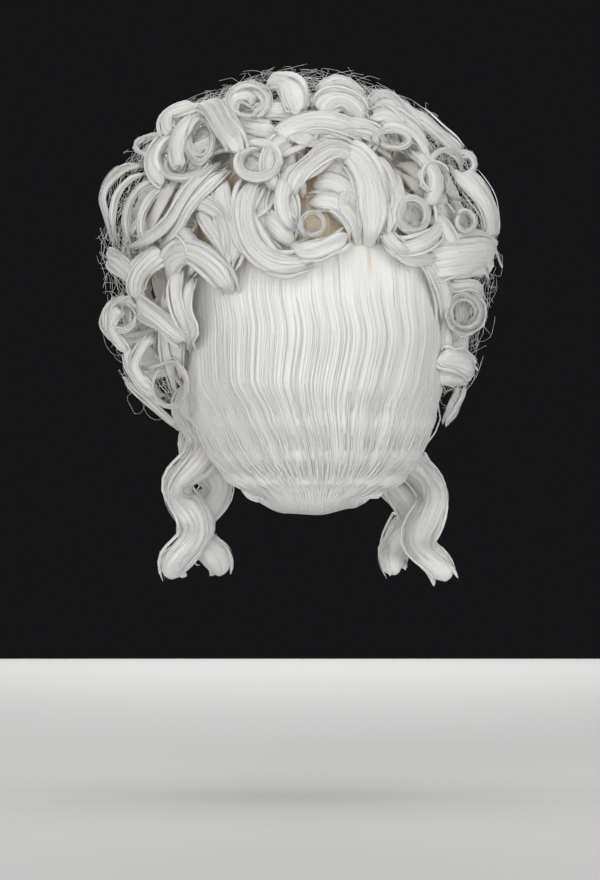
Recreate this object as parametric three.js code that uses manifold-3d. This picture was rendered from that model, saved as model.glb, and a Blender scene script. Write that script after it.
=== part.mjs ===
// A white theatre wig in the powdered eighteenth-century manner, in millimetres.
// A thin cap sits on the head. Combed-up root hair rises from its top and sides, and rows of
// rolled curls stand on that. The back is one smooth fall of hair, turned under in a roll at
// the nape, and four ringlets hang beside the neck.
// The wearer looks along -Y, +X is the wearer's left and +Z is up. The origin is where the
// crown of the head bears on the inside of the cap.
import * as THREE from "three";
import Module from "manifold-3d";

const wasm = await Module();
wasm.setup();

// The head that the cap is made for
const HEAD_WIDTH = 152;
const HEAD_FRONT = 95;
const HEAD_BACK = 97;
const CROWN_TO_WIDEST = 88;
const WIDEST_TO_CHIN = 150;
const NECK_RADIUS = 57;

// The cap
const CAP_WALL = 2;
const CAP_DEPTH = 165;
const SEAT_GAP = 0.3;

// How far the combed-up root hair stands out from the cap
const RISE_TOP = 52;
const RISE_LEFT = 44;
const RISE_RIGHT = 30;
const RISE_FRONT = 14;
const RISE_BACK = 13;
const ROOTS_CENTRE_DROP = 50;
const ROOTS_DEPTH = 165;

// The smooth fall of hair over the back of the head
const FALL_TUCK = 14;
const FALL_BOTTOM = 240;
const FALL_THICKNESS = 24;
const FALL_EDGE_SHARE = 0.35;
const FALL_RISE_LEFT = 20;
const FALL_RISE_RIGHT = 34;
const FALL_RISE_BACK = 23;
const NECK_CLEARANCE = 3;
const ROLL_HEIGHT = 23;
const ROLL_THICKNESS = 20;

// A curl: a flat lock wound into a spiral, bedded into the root hair
const CURL_RADIUS = 19.5;
const LOCK_WIDTH = 22;
const LOCK_THICKNESS = 8;
const CURL_TURNS = 1.2;
const COIL_CLEARANCE = 1.2;
const CURL_STAND = 0.6;
const CURL_TIP = 0.45;
const NEARLY_FLAT = 0.1;

// A ringlet: a thick lock that hangs as a long helix
const RINGLET_LENGTH = 160;
const RINGLET_PITCH = 68;
const RINGLET_COIL = 12;
const RINGLET_WIDTH = 23;
const RINGLET_THICKNESS = 12;
const RINGLET_TIP = 0.35;
const RINGLET_OPENS_IN = 0.5;
const TAPER_TURNS = 0.4;

// Facets
const AROUND_HEAD = 24;
const ROWS_DOWN = 8;
const LOCK_SIDES = 5;
const CURL_STEPS = 9;
const RINGLET_STEPS = 22;
const FALL_COLUMNS = 14;
const FALL_LEVELS = 10;
const ROLL_STEPS = 12;

const DEGREE = Math.PI / 180;
const HAIR_WHITE = 0xe8e7e1;
const CAP_TAN = 0xd2a679;

// Where the cap's edge runs: angle from the middle of the back, and depth below the crown
// as a share of CAP_DEPTH
const CAP_EDGE = [
  { angle: 0, depth: 1.0 },
  { angle: 45, depth: 0.95 },
  { angle: 80, depth: 0.72 },
  { angle: 105, depth: 0.74 },
  { angle: 130, depth: 0.5 },
  { angle: 155, depth: 0.36 },
  { angle: 180, depth: 0.32 },
];

// Where the root hair ends, in the same way, with depth as a share of ROOTS_DEPTH
const ROOTS_EDGE = [
  { angle: 0, depth: 0.42 },
  { angle: 35, depth: 0.46 },
  { angle: 60, depth: 0.74 },
  { angle: 82, depth: 1.0 },
  { angle: 108, depth: 0.94 },
  { angle: 132, depth: 0.58 },
  { angle: 155, depth: 0.39 },
  { angle: 180, depth: 0.34 },
];

// The fall, from its top to its bottom: drop as a share of its height, the angles of its two
// side edges from the middle of the back, half-width and depth as shares of the widest
// level's, and thickness as a share of FALL_THICKNESS
const FALL_SECTIONS = [
  { drop: 0.0, left: 80, right: 80, width: 0.9, depth: 0.93, thickness: 0.6 },
  { drop: 0.14, left: 82, right: 84, width: 0.97, depth: 0.98, thickness: 0.85 },
  { drop: 0.32, left: 84, right: 88, width: 1.0, depth: 1.0, thickness: 1.0 },
  { drop: 0.5, left: 82, right: 86, width: 0.98, depth: 0.96, thickness: 1.0 },
  { drop: 0.66, left: 76, right: 82, width: 0.92, depth: 0.87, thickness: 0.95 },
  { drop: 0.8, left: 68, right: 76, width: 0.84, depth: 0.79, thickness: 0.8 },
  { drop: 0.91, left: 52, right: 64, width: 0.76, depth: 0.72, thickness: 0.55 },
  { drop: 1.0, left: 30, right: 44, width: 0.66, depth: 0.66, thickness: 0.3 },
];

// The roll at the nape: angle from the middle of the back, drop below the crown as a share
// of FALL_BOTTOM, and size as a share of its full section
const ROLL_SECTIONS = [
  { angle: 46, drop: 0.93, size: 0.35 },
  { angle: 32, drop: 0.97, size: 0.75 },
  { angle: 14, drop: 0.995, size: 1.0 },
  { angle: -8, drop: 1.0, size: 1.0 },
  { angle: -30, drop: 0.98, size: 1.0 },
  { angle: -48, drop: 0.94, size: 0.75 },
  { angle: -60, drop: 0.89, size: 0.35 },
];

// The curls as seen from behind the head. across and up are shares of the root hair's
// half-width and height, with across growing towards the wearer's left. size is a share of
// CURL_RADIUS and width a share of LOCK_WIDTH. face is the angle between the curl's axis and
// the line of sight, so that 0 shows a ring and 90 a roll, slant is that axis's angle on a
// clock face, and hand says which way the lock winds.
const BACK_CURLS = [
  { name: "curl_top_1", across: 0.52, up: 0.84, size: 1.0, width: 1.3, face: 70, slant: 50, hand: 1 },
  { name: "curl_top_2", across: 0.32, up: 0.92, size: 0.92, width: 1.0, face: 14, slant: 60, hand: 1 },
  { name: "curl_top_3", across: 0.06, up: 0.98, size: 1.0, width: 1.4, face: 62, slant: 80, hand: -1 },
  { name: "curl_top_4", across: -0.2, up: 0.97, size: 1.05, width: 1.2, face: 50, slant: 105, hand: 1 },
  { name: "curl_top_5", across: -0.46, up: 0.87, size: 1.0, width: 1.1, face: 28, slant: 40, hand: 1 },
  { name: "curl_top_6", across: -0.7, up: 0.7, size: 1.0, width: 1.4, face: 66, slant: 130, hand: -1 },
  { name: "curl_upper_1", across: 0.58, up: 0.66, size: 1.1, width: 1.1, face: 32, slant: 60, hand: 1 },
  { name: "curl_upper_2", across: 0.12, up: 0.79, size: 1.0, width: 1.3, face: 52, slant: 120, hand: 1 },
  { name: "curl_upper_3", across: -0.17, up: 0.68, size: 1.2, width: 1.1, face: 62, slant: 5, hand: -1 },
  { name: "curl_upper_4", across: -0.49, up: 0.63, size: 0.95, width: 1.0, face: 22, slant: 30, hand: 1 },
  { name: "curl_left_1", across: 0.82, up: 0.57, size: 1.0, width: 0.9, face: 45, slant: 25, hand: -1 },
  { name: "curl_left_2", across: 0.97, up: 0.26, size: 0.95, width: 2.0, face: 80, slant: 8, hand: 1 },
  { name: "curl_left_3", across: 1.0, up: -0.04, size: 1.0, width: 1.3, face: 62, slant: 160, hand: -1 },
  { name: "curl_left_4", across: 0.97, up: -0.25, size: 0.9, width: 1.1, face: 22, slant: 80, hand: 1 },
  { name: "curl_left_5", across: 0.83, up: -0.56, size: 1.05, width: 0.8, face: 10, slant: 90, hand: -1 },
  { name: "curl_left_6", across: 0.84, up: 0.36, size: 1.05, width: 1.1, face: 58, slant: 90, hand: 1 },
  { name: "curl_left_7", across: 0.86, up: -0.1, size: 0.95, width: 1.1, face: 38, slant: 60, hand: -1 },
  { name: "curl_left_8", across: 0.79, up: -0.32, size: 0.85, width: 2.0, face: 84, slant: 128, hand: 1 },
  { name: "curl_right_1", across: -0.84, up: 0.5, size: 1.05, width: 1.0, face: 20, slant: 70, hand: -1 },
  { name: "curl_right_2", across: -0.94, up: 0.34, size: 1.0, width: 1.6, face: 78, slant: 165, hand: 1 },
  { name: "curl_right_3", across: -0.96, up: 0.16, size: 0.92, width: 1.0, face: 16, slant: 50, hand: 1 },
  { name: "curl_right_4", across: -1.0, up: -0.05, size: 1.2, width: 1.7, face: 64, slant: 20, hand: -1 },
  { name: "curl_right_5", across: -0.95, up: -0.25, size: 1.1, width: 1.0, face: 16, slant: 90, hand: 1 },
  { name: "curl_right_6", across: -0.87, up: -0.48, size: 0.8, width: 1.6, face: 76, slant: 88, hand: 1 },
  { name: "curl_right_7", across: -0.8, up: -0.1, size: 1.1, width: 1.4, face: 60, slant: 60, hand: 1 },
  { name: "curl_middle_1", across: 0.28, up: 0.56, size: 1.15, width: 1.0, face: 8, slant: 30, hand: 1 },
  { name: "curl_middle_2", across: 0.46, up: 0.34, size: 1.0, width: 1.5, face: 66, slant: 150, hand: -1 },
  { name: "curl_middle_3", across: 0.58, up: 0.11, size: 1.25, width: 1.2, face: 34, slant: 115, hand: -1 },
  { name: "curl_middle_4", across: 0.6, up: -0.1, size: 0.95, width: 2.1, face: 82, slant: 122, hand: 1 },
  { name: "curl_middle_5", across: -0.05, up: 0.13, size: 0.8, width: 1.1, face: 12, slant: 40, hand: 1 },
  { name: "curl_middle_6", across: 0.14, up: 0.15, size: 1.45, width: 1.2, face: 14, slant: 40, hand: -1 },
  { name: "curl_middle_7", across: -0.25, up: 0.33, size: 1.45, width: 1.3, face: 22, slant: 140, hand: 1 },
  { name: "curl_middle_8", across: -0.53, up: 0.44, size: 0.95, width: 1.2, face: 34, slant: 70, hand: -1 },
  { name: "curl_middle_9", across: -0.65, up: 0.23, size: 1.05, width: 1.0, face: 8, slant: 60, hand: 1 },
];

// The curls that the head hides from behind, in rows of rolls spread from side to side: out
// is the angle that a row lies forward of the outline, and sweep the clock angle of its last
// curl on each side
const FRONT_ROWS = [
  { name: "curl_front", count: 9, out: 25, sweep: 92, size: 1.08, width: 1.6, tilt: 14 },
  { name: "curl_brow", count: 4, out: 53, sweep: 66, size: 1.05, width: 1.9, tilt: 10 },
  { name: "curl_temple", count: 2, out: 45, sweep: 102, size: 1.0, width: 1.7, tilt: 12 },
  { name: "curl_ear", count: 2, out: 17, sweep: 116, size: 1.1, width: 1.9, tilt: 12 },
];

// The ringlets: the angle of each one's root from the middle of the back and its share of
// the way out to the root hair's edge, where its foot hangs as shares of the head's
// half-width and of HEAD_FRONT, its length as a share of RINGLET_LENGTH, the angle at which
// its first turn starts and which way it winds
const RINGLETS = [
  { name: "ringlet_left_1", root: 94, out: 0.94, foot: 1.28, ahead: 0.24, length: 1, start: 250, hand: 1 },
  { name: "ringlet_left_2", root: 118, out: 0.9, foot: 1, ahead: 0.42, length: 1.16, start: 60, hand: -1 },
  { name: "ringlet_right_1", root: -94, out: 0.97, foot: -1.34, ahead: 0.24, length: 1, start: 40, hand: 1 },
  { name: "ringlet_right_2", root: -118, out: 0.9, foot: -1, ahead: 0.4, length: 1.15, start: 200, hand: -1 },
];

const vec = (x, y, z) => new THREE.Vector3(x, y, z);
const mix = (a, b, share) => a + (b - a) * share;

// How far a lock has narrowed towards its tip, from the turns that it has left
const taperAt = (turnsLeft, tip) => Math.min(1, mix(tip, 1, turnsLeft / TAPER_TURNS));

// The value of one column of a table at a place between its rows, eased between them
function readTable(rows, key, at, column) {
  const rising = rows[rows.length - 1][key] > rows[0][key];
  const past = rows.findIndex((row) => (rising ? row[key] >= at : row[key] <= at));
  if (past === 0) return rows[0][column];
  if (past < 0) return rows[rows.length - 1][column];
  const [low, high] = [rows[past - 1], rows[past]];
  const share = (at - low[key]) / (high[key] - low[key]);
  return mix(low[column], high[column], share * share * (3 - 2 * share));
}

// A closed surface from rings of points. The first and last ring are closed by a fan to one
// point each.
function ringedSolid(rings, firstPoint, lastPoint) {
  const around = rings[0].length;
  const points = [firstPoint, ...rings.flat(), lastPoint];
  const last = points.length - 1;
  const at = (ring, k) => 1 + ring * around + (k % around);
  const faces = [];
  for (let k = 0; k < around; k++) {
    faces.push(0, at(0, k), at(0, k + 1));
    faces.push(last, at(rings.length - 1, k + 1), at(rings.length - 1, k));
    for (let ring = 0; ring + 1 < rings.length; ring++) {
      faces.push(...quad(points, at(ring, k), at(ring + 1, k), at(ring + 1, k + 1), at(ring, k + 1)));
    }
  }
  return solidFrom(points, faces);
}

// Two triangles for four corners, split along the shorter diagonal
function quad(points, a, b, c, d) {
  const straight = points[a].distanceTo(points[c]) < points[b].distanceTo(points[d]);
  return straight ? [a, b, c, a, c, d] : [a, b, d, b, c, d];
}

// A manifold-3d solid from points and triangles, turned the right way out
function solidFrom(points, faces) {
  const vertProperties = new Float32Array(points.flatMap((p) => [p.x, p.y, p.z]));
  const build = (triangles) =>
    new wasm.Manifold(
      new wasm.Mesh({ numProp: 3, vertProperties, triVerts: new Uint32Array(triangles) }),
    );
  const made = build(faces);
  if (made.volume() > 0) return made;
  const turned = [];
  for (let i = 0; i < faces.length; i += 3) turned.push(faces[i], faces[i + 2], faces[i + 1]);
  return build(turned);
}

// A rounded form made of eight quarter-ellipsoids that join smoothly
const head = {
  centre: vec(0, 0, -CROWN_TO_WIDEST),
  left: HEAD_WIDTH / 2,
  right: HEAD_WIDTH / 2,
  front: HEAD_FRONT,
  back: HEAD_BACK,
  up: CROWN_TO_WIDEST,
  down: WIDEST_TO_CHIN,
};

function grown(form, by) {
  const bigger = { centre: form.centre };
  for (const side of ["left", "right", "front", "back", "up", "down"]) bigger[side] = form[side] + by;
  return bigger;
}

const capForm = grown(head, CAP_WALL);

// The root hair's outer form stands out from the cap by its own rise on each side
const roots = {
  centre: vec(0, 0, -ROOTS_CENTRE_DROP),
  left: capForm.left + RISE_LEFT,
  right: capForm.right + RISE_RIGHT,
  front: capForm.front + RISE_FRONT,
  back: capForm.back + RISE_BACK,
  up: ROOTS_CENTRE_DROP + CAP_WALL + RISE_TOP,
  down: ROOTS_DEPTH,
};

// A point of a form from a unit direction, and the outward normal there
function pointOn(form, d) {
  return vec(
    d.x * (d.x > 0 ? form.left : form.right),
    d.y * (d.y > 0 ? form.back : form.front),
    d.z * (d.z > 0 ? form.up : form.down),
  ).add(form.centre);
}

function normalOn(form, d) {
  return vec(
    d.x / (d.x > 0 ? form.left : form.right),
    d.y / (d.y > 0 ? form.back : form.front),
    d.z / (d.z > 0 ? form.up : form.down),
  ).normalize();
}

// A unit direction from an angle round the head and an angle down from its top. The first
// grows from the middle of the back towards the wearer's left.
function direction(angle, polar) {
  const level = Math.sin(polar);
  return vec(level * Math.sin(angle * DEGREE), level * Math.cos(angle * DEGREE), Math.cos(polar));
}

// One ring of points round a form
function ringOn(form, polarAt) {
  return Array.from({ length: AROUND_HEAD }, (_, k) => {
    const angle = (k / AROUND_HEAD) * 360 - 180;
    return pointOn(form, direction(angle, polarAt(angle)));
  });
}

// The whole of a form, closed
function wholeForm(form) {
  const rows = 2 * ROWS_DOWN;
  const rings = [];
  for (let row = 1; row < rows; row++) {
    rings.push(ringOn(form, () => (row / rows) * Math.PI));
  }
  return ringedSolid(rings, pointOn(form, vec(0, 0, 1)), pointOn(form, vec(0, 0, -1)));
}

// How far down a form its edge runs, as an angle from the form's top
function edgePolar(form, edge, depth, angle) {
  const z = -depth * readTable(edge, "angle", Math.abs(angle), "depth") - form.centre.z;
  return Math.acos(z / (z > 0 ? form.up : form.down));
}

// A form down to its edge, filled inside as far as the middle of the head
const headMiddle = vec(0, 0, -CROWN_TO_WIDEST);

function domeDownTo(form, edge, depth) {
  const rings = [];
  for (let row = 1; row <= ROWS_DOWN; row++) {
    rings.push(ringOn(form, (angle) => (edgePolar(form, edge, depth, angle) * row) / ROWS_DOWN));
  }
  return ringedSolid(rings, pointOn(form, vec(0, 0, 1)), headMiddle);
}

const headClear = wholeForm(grown(capForm, SEAT_GAP));

// The cap is a thin shell, open below and at the face
const cap = wholeForm(capForm)
  .subtract(wholeForm(head))
  .intersect(domeDownTo(grown(capForm, CAP_WALL), CAP_EDGE, CAP_DEPTH));

// The root hair lies round the cap, and stays as clear of the head below the cap's edge
const rootHair = domeDownTo(roots, ROOTS_EDGE, ROOTS_DEPTH).subtract(headClear);
const rootsGrown = domeDownTo(grown(roots, SEAT_GAP), ROOTS_EDGE, ROOTS_DEPTH + SEAT_GAP);

// Distance from the head's middle line to an ellipse, at an angle from the middle of the back
function planRadius(angle, left, right, back) {
  const half = angle > 0 ? left : right;
  return 1 / Math.hypot(Math.sin(angle) / half, Math.cos(angle) / back);
}

// The plan radius of the head at a depth below the crown, or of the neck where that is wider
function headPlanRadius(angle, depth) {
  const below = depth - CROWN_TO_WIDEST;
  const share = below / (below > 0 ? WIDEST_TO_CHIN : CROWN_TO_WIDEST);
  const level = Math.sqrt(Math.max(0, 1 - share * share));
  const skull = planRadius(angle, head.left, head.right, head.back) * level;
  return Math.max(skull, NECK_RADIUS) + NECK_CLEARANCE;
}

const onPlan = (angle, radius, depth) => vec(radius * Math.sin(angle), radius * Math.cos(angle), -depth);

// The fall: an outer and an inner skin at each level, from the left edge to the right one.
// Its top is tucked under the root hair's back edge.
function backFall(extra) {
  const top = ROOTS_DEPTH * ROOTS_EDGE[0].depth - FALL_TUCK;
  const rings = [];
  for (let level = 0; level <= FALL_LEVELS; level++) {
    const drop = level / FALL_LEVELS;
    const read = (column) => readTable(FALL_SECTIONS, "drop", drop, column);
    const depth = mix(top - extra, FALL_BOTTOM + extra, drop);
    const left = (head.left + FALL_RISE_LEFT) * read("width");
    const right = (head.right + FALL_RISE_RIGHT) * read("width");
    const back = (head.back + FALL_RISE_BACK) * read("depth");
    const spread = extra / Math.min(left, right);
    const outer = [];
    const inner = [];
    for (let column = 0; column <= FALL_COLUMNS; column++) {
      const share = column / FALL_COLUMNS;
      const angle = mix(read("left") * DEGREE + spread, -read("right") * DEGREE - spread, share);
      const skin = planRadius(angle, left, right, back);
      const swell = mix(FALL_EDGE_SHARE, 1, Math.sin(share * Math.PI));
      const thickness = FALL_THICKNESS * read("thickness") * swell;
      const inside = Math.max(headPlanRadius(angle, depth), skin - thickness);
      outer.push(onPlan(angle, Math.max(skin, inside + LOCK_THICKNESS / 2) + extra, depth));
      inner.unshift(onPlan(angle, inside - extra, depth));
    }
    rings.push([...outer, ...inner]);
  }
  return bandSolid(rings);
}

// A closed body from flat crescent rings, whose two ends are closed column by column
function bandSolid(rings) {
  const around = rings[0].length;
  const last = rings.length - 1;
  const points = rings.flat();
  const at = (ring, k) => ring * around + (k % around);
  const faces = [];
  for (let ring = 0; ring < last; ring++) {
    for (let k = 0; k < around; k++) {
      faces.push(...quad(points, at(ring, k), at(ring + 1, k), at(ring + 1, k + 1), at(ring, k + 1)));
    }
  }
  for (let k = 0; k + 1 < around / 2; k++) {
    const across = around - 1 - k;
    faces.push(at(0, k), at(0, k + 1), at(0, across - 1));
    faces.push(at(0, k), at(0, across - 1), at(0, across));
    faces.push(at(last, k), at(last, across - 1), at(last, k + 1));
    faces.push(at(last, k), at(last, across), at(last, across - 1));
  }
  return solidFrom(points, faces);
}

// A lock carried along a path. Each section is a flat oval with a width along one axis and
// a thickness along another.
function lockSolid(sections) {
  const rings = sections.map(({ at, wide, thick }) =>
    Array.from({ length: LOCK_SIDES }, (_, k) => {
      const turn = ((k + 0.25) / LOCK_SIDES) * 2 * Math.PI;
      return at
        .clone()
        .addScaledVector(wide, Math.cos(turn))
        .addScaledVector(thick, Math.sin(turn));
    }),
  );
  return ringedSolid(rings, sections[0].at, sections[sections.length - 1].at);
}

// The turned-under roll along the bottom of the fall
function napeRoll(extra) {
  const first = ROLL_SECTIONS[0].angle;
  const last = ROLL_SECTIONS[ROLL_SECTIONS.length - 1].angle;
  const radius = NECK_RADIUS + NECK_CLEARANCE + ROLL_THICKNESS / 2;
  const sections = [];
  for (let step = 0; step <= ROLL_STEPS; step++) {
    const angle = mix(first, last, step / ROLL_STEPS);
    const size = readTable(ROLL_SECTIONS, "angle", angle, "size");
    sections.push({
      at: onPlan(angle * DEGREE, radius, FALL_BOTTOM * readTable(ROLL_SECTIONS, "angle", angle, "drop")),
      wide: vec(0, 0, (ROLL_HEIGHT / 2) * size + extra),
      thick: onPlan(angle * DEGREE, (ROLL_THICKNESS / 2) * size + extra, 0),
    });
  }
  return lockSolid(sections);
}

// A ringlet is a lock on a helix. It starts inside the root hair's lower edge, and its axis
// runs from there to the ringlet's foot.
function ringlet(row, extra) {
  const edge = pointOn(roots, direction(row.root, edgePolar(roots, ROOTS_EDGE, ROOTS_DEPTH, row.root)));
  const top = headMiddle.clone().lerp(edge, row.out).add(vec(0, 0, RINGLET_THICKNESS));
  const length = RINGLET_LENGTH * row.length;
  const foot = vec((HEAD_WIDTH / 2) * row.foot, -HEAD_FRONT * row.ahead, top.z - length);
  const turns = length / RINGLET_PITCH;
  const slope = (2 * Math.PI * RINGLET_COIL * row.hand) / RINGLET_PITCH;
  const sections = [];
  for (let step = 0; step <= RINGLET_STEPS; step++) {
    const share = step / RINGLET_STEPS;
    const turn = (row.start + row.hand * share * turns * 360) * DEGREE;
    const out = vec(Math.cos(turn), Math.sin(turn), 0);
    const along = vec(-Math.sin(turn) * slope, Math.cos(turn) * slope, -1);
    const taper = taperAt((1 - share) * turns, RINGLET_TIP);
    const open = Math.min(1, (share * turns) / RINGLET_OPENS_IN);
    sections.push({
      at: top.clone().lerp(foot, share).addScaledVector(out, RINGLET_COIL * open),
      wide: along.cross(out).setLength((RINGLET_WIDTH / 2) * taper + extra),
      thick: out.clone().setLength((RINGLET_THICKNESS / 2) * taper + extra),
    });
  }
  return lockSolid(sections);
}

// A curl is a flat lock on a flat spiral. Its centre stands off the root hair by a share of
// what the curl's own size takes up in that direction, so that the rest beds in.
function curl(row, extra) {
  const radius = CURL_RADIUS * row.size;
  const width = LOCK_WIDTH * row.width;
  const facing = row.normal.dot(row.axis);
  const upright = Math.sqrt(Math.max(0, 1 - facing * facing));
  const reach = (radius + LOCK_THICKNESS / 2) * upright + (width / 2) * Math.abs(facing);
  const centre = row.foot.clone().addScaledVector(row.normal, reach * CURL_STAND);
  const down = row.normal.clone().negate().addScaledVector(row.axis, facing);
  if (upright < NEARLY_FLAT) down.set(0, 0, -1).addScaledVector(row.axis, row.axis.z);
  down.normalize();
  const sideways = row.axis.clone().cross(down).multiplyScalar(row.hand);
  const sections = [];
  for (let step = 0; step <= CURL_STEPS; step++) {
    const turns = (CURL_TURNS * step) / CURL_STEPS;
    const turn = turns * 2 * Math.PI;
    const out = down.clone().multiplyScalar(Math.cos(turn)).addScaledVector(sideways, Math.sin(turn));
    const taper = taperAt(CURL_TURNS - turns, CURL_TIP);
    sections.push({
      at: centre.clone().addScaledVector(out, radius - (LOCK_THICKNESS + COIL_CLEARANCE) * turns),
      wide: row.axis.clone().setLength((width / 2) * taper + extra),
      thick: out.clone().setLength((LOCK_THICKNESS / 2) * taper + extra),
    });
  }
  return lockSolid(sections);
}

// Where a charted curl of the back stands, and which way its axis points
function placeBackCurl(row) {
  const reach = Math.hypot(row.across, row.up);
  const across = row.across / Math.max(1, reach);
  const up = row.up / Math.max(1, reach);
  const d = vec(across, Math.sqrt(Math.max(0, 1 - across * across - up * up)), up);
  const face = row.face * DEGREE;
  const slant = row.slant * DEGREE;
  const axis = vec(-Math.sin(face) * Math.sin(slant), Math.cos(face), Math.sin(face) * Math.cos(slant));
  return { ...row, foot: pointOn(roots, d), normal: normalOn(roots, d), axis };
}

// The curls of one front row. Each is a roll along the row, tilted a little to either side
// in turn.
function placeFrontRow(row) {
  return Array.from({ length: row.count }, (_, k) => {
    const clock = mix(-row.sweep, row.sweep, k / (row.count - 1)) * DEGREE;
    const out = (90 + row.out) * DEGREE;
    const d = vec(Math.sin(out) * Math.sin(clock), Math.cos(out), Math.sin(out) * Math.cos(clock));
    const normal = normalOn(roots, d);
    const tilt = row.tilt * (k % 2 ? 1 : -1) * DEGREE;
    const along = vec(Math.cos(clock), 0, -Math.sin(clock));
    const level = along.addScaledVector(normal, -along.dot(normal)).normalize();
    const axis = level.multiplyScalar(Math.cos(tilt)).addScaledVector(normal, Math.sin(tilt));
    return { ...row, name: `${row.name}_${k + 1}`, foot: pointOn(roots, d), normal, axis, hand: 1 };
  });
}

const hair = new THREE.MeshStandardMaterial({ color: HAIR_WHITE, roughness: 0.5, metalness: 0 });
const net = new THREE.MeshStandardMaterial({ color: CAP_TAN, roughness: 0.85, metalness: 0 });

function meshOf(name, solid, material) {
  const { vertProperties, triVerts } = solid.getMesh();
  const geometry = new THREE.BufferGeometry();
  geometry.setAttribute("position", new THREE.BufferAttribute(new Float32Array(vertProperties), 3));
  geometry.setIndex(new THREE.BufferAttribute(new Uint32Array(triVerts), 1));
  geometry.computeVertexNormals();
  const mesh = new THREE.Mesh(geometry, material);
  mesh.name = name;
  return mesh;
}

// What is left of a solid clear of others, without the crumbs that a cut can leave
function clearOf(solid, others) {
  const left = others.reduce((rest, other) => rest.subtract(other), solid);
  return left.decompose().sort((a, b) => b.volume() - a.volume())[0];
}

const wig = new THREE.Group();
wig.add(meshOf("cap", cap, net));
wig.add(meshOf("root_hair", rootHair, hair));
wig.add(meshOf("nape_roll", clearOf(napeRoll(0), [headClear]), hair));
wig.add(meshOf("back_fall", clearOf(backFall(0), [headClear, rootsGrown, napeRoll(SEAT_GAP)]), hair));

// The locks are set one after another, and each gives way to those set before it
const standing = [headClear, rootsGrown, backFall(SEAT_GAP), napeRoll(SEAT_GAP)];
const curls = [...BACK_CURLS.map(placeBackCurl), ...FRONT_ROWS.flatMap(placeFrontRow)];
const locks = [...RINGLETS.map((row) => [ringlet, row]), ...curls.map((row) => [curl, row])];
for (const [shape, row] of locks) {
  wig.add(meshOf(row.name, clearOf(shape(row, 0), standing), hair));
  standing.push(shape(row, SEAT_GAP));
}

export default wig;
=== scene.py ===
"""The looks of a powdered wig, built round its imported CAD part: curls, ringlets, the smooth
hair of the back, loose strands and the net cap. Lengths are in metres."""

import math

import bpy
import numpy as np
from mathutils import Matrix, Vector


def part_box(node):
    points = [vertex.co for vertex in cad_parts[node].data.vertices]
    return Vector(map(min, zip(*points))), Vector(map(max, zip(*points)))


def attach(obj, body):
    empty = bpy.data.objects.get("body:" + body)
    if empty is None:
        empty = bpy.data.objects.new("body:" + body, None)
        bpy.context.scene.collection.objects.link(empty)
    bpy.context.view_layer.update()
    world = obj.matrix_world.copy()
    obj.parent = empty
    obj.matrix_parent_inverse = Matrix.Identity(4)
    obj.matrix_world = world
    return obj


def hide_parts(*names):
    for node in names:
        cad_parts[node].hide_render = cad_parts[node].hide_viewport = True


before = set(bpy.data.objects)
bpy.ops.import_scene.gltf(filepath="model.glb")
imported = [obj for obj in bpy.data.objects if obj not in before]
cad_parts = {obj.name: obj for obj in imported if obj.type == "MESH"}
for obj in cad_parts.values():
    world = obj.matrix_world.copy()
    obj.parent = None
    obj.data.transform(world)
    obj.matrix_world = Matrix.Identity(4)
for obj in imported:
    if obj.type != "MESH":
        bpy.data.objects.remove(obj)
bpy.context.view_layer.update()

# The camera: where it stands, what it looks at and its lens for a picture 36 mm high
CAMERA_DISTANCE = 3.6
CAMERA_CENTRE = (0.0047, 0.0, -0.195)
CAMERA_LENS = 188.8

FLOOR_Z = -0.47
SEED = 1786

# The form of the root hair, from its CAD node, with the height of its widest level
ROOTS_WIDEST = -0.05
ROOTS_DOWN = 0.165
ROOTS_AROUND = 0.7
roots_low, roots_high = (np.array(corner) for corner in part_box("root_hair"))
cap_low, cap_high = (np.array(corner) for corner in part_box("cap"))

# The head inside the cap
HEAD_CENTRE = np.array([0.0, 0.0, -0.088])
HEAD_FRONT = 0.095
HEAD_HALF_WIDTH = 0.076
HEAD_DOWN = 0.150
CAP_CLEARANCE = 0.0006

# A roll of the front: its size, its stand, how it winds in, and the lock that leads into it
ROLL_CURL_RADIUS = 0.0195
ROLL_CURL_WIDTH = 0.022
ROLL_CURL_STAND = 0.6
ROLL_CURL_MARGIN = 0.004
ROLL_CURL_WINDS_IN = 0.0062
ROLL_CURL_TURNS = 1.25
LEAD_LENGTH = 0.050
LEAD_DEPTH = 0.004
LEAD_ARCH = 0.007

LOCK_HALF_THICKNESS = 0.0024
STRAND_RADIUS = 0.00018
BED_LOCKS = 215
COMBED_LOCKS = 40

# The halo of single hairs: how many over the curls and how many more at the outline
FRIZZ_STRANDS = 1300
OUTLINE_STRANDS = 5000
FRIZZ_REACH = 0.047
FRIZZ_RADIUS = 0.00012

# How far the root hair sinks under the fall, and over what height among the curls the hair
# # takes painted shade, partly the tan cap seen through it
SHELL_SINKS = 0.018
PAINTED_SHADE_OVER = 0.014

# Where the root hair ends: the angle from the middle of the back, and the depth below the
# crown as a share of ROOTS_DOWN
ROOTS_EDGE = (
    (0, 0.42), (35, 0.46), (60, 0.74), (82, 1.0), (108, 0.94), (132, 0.58), (155, 0.39), (180, 0.34),
)

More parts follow.
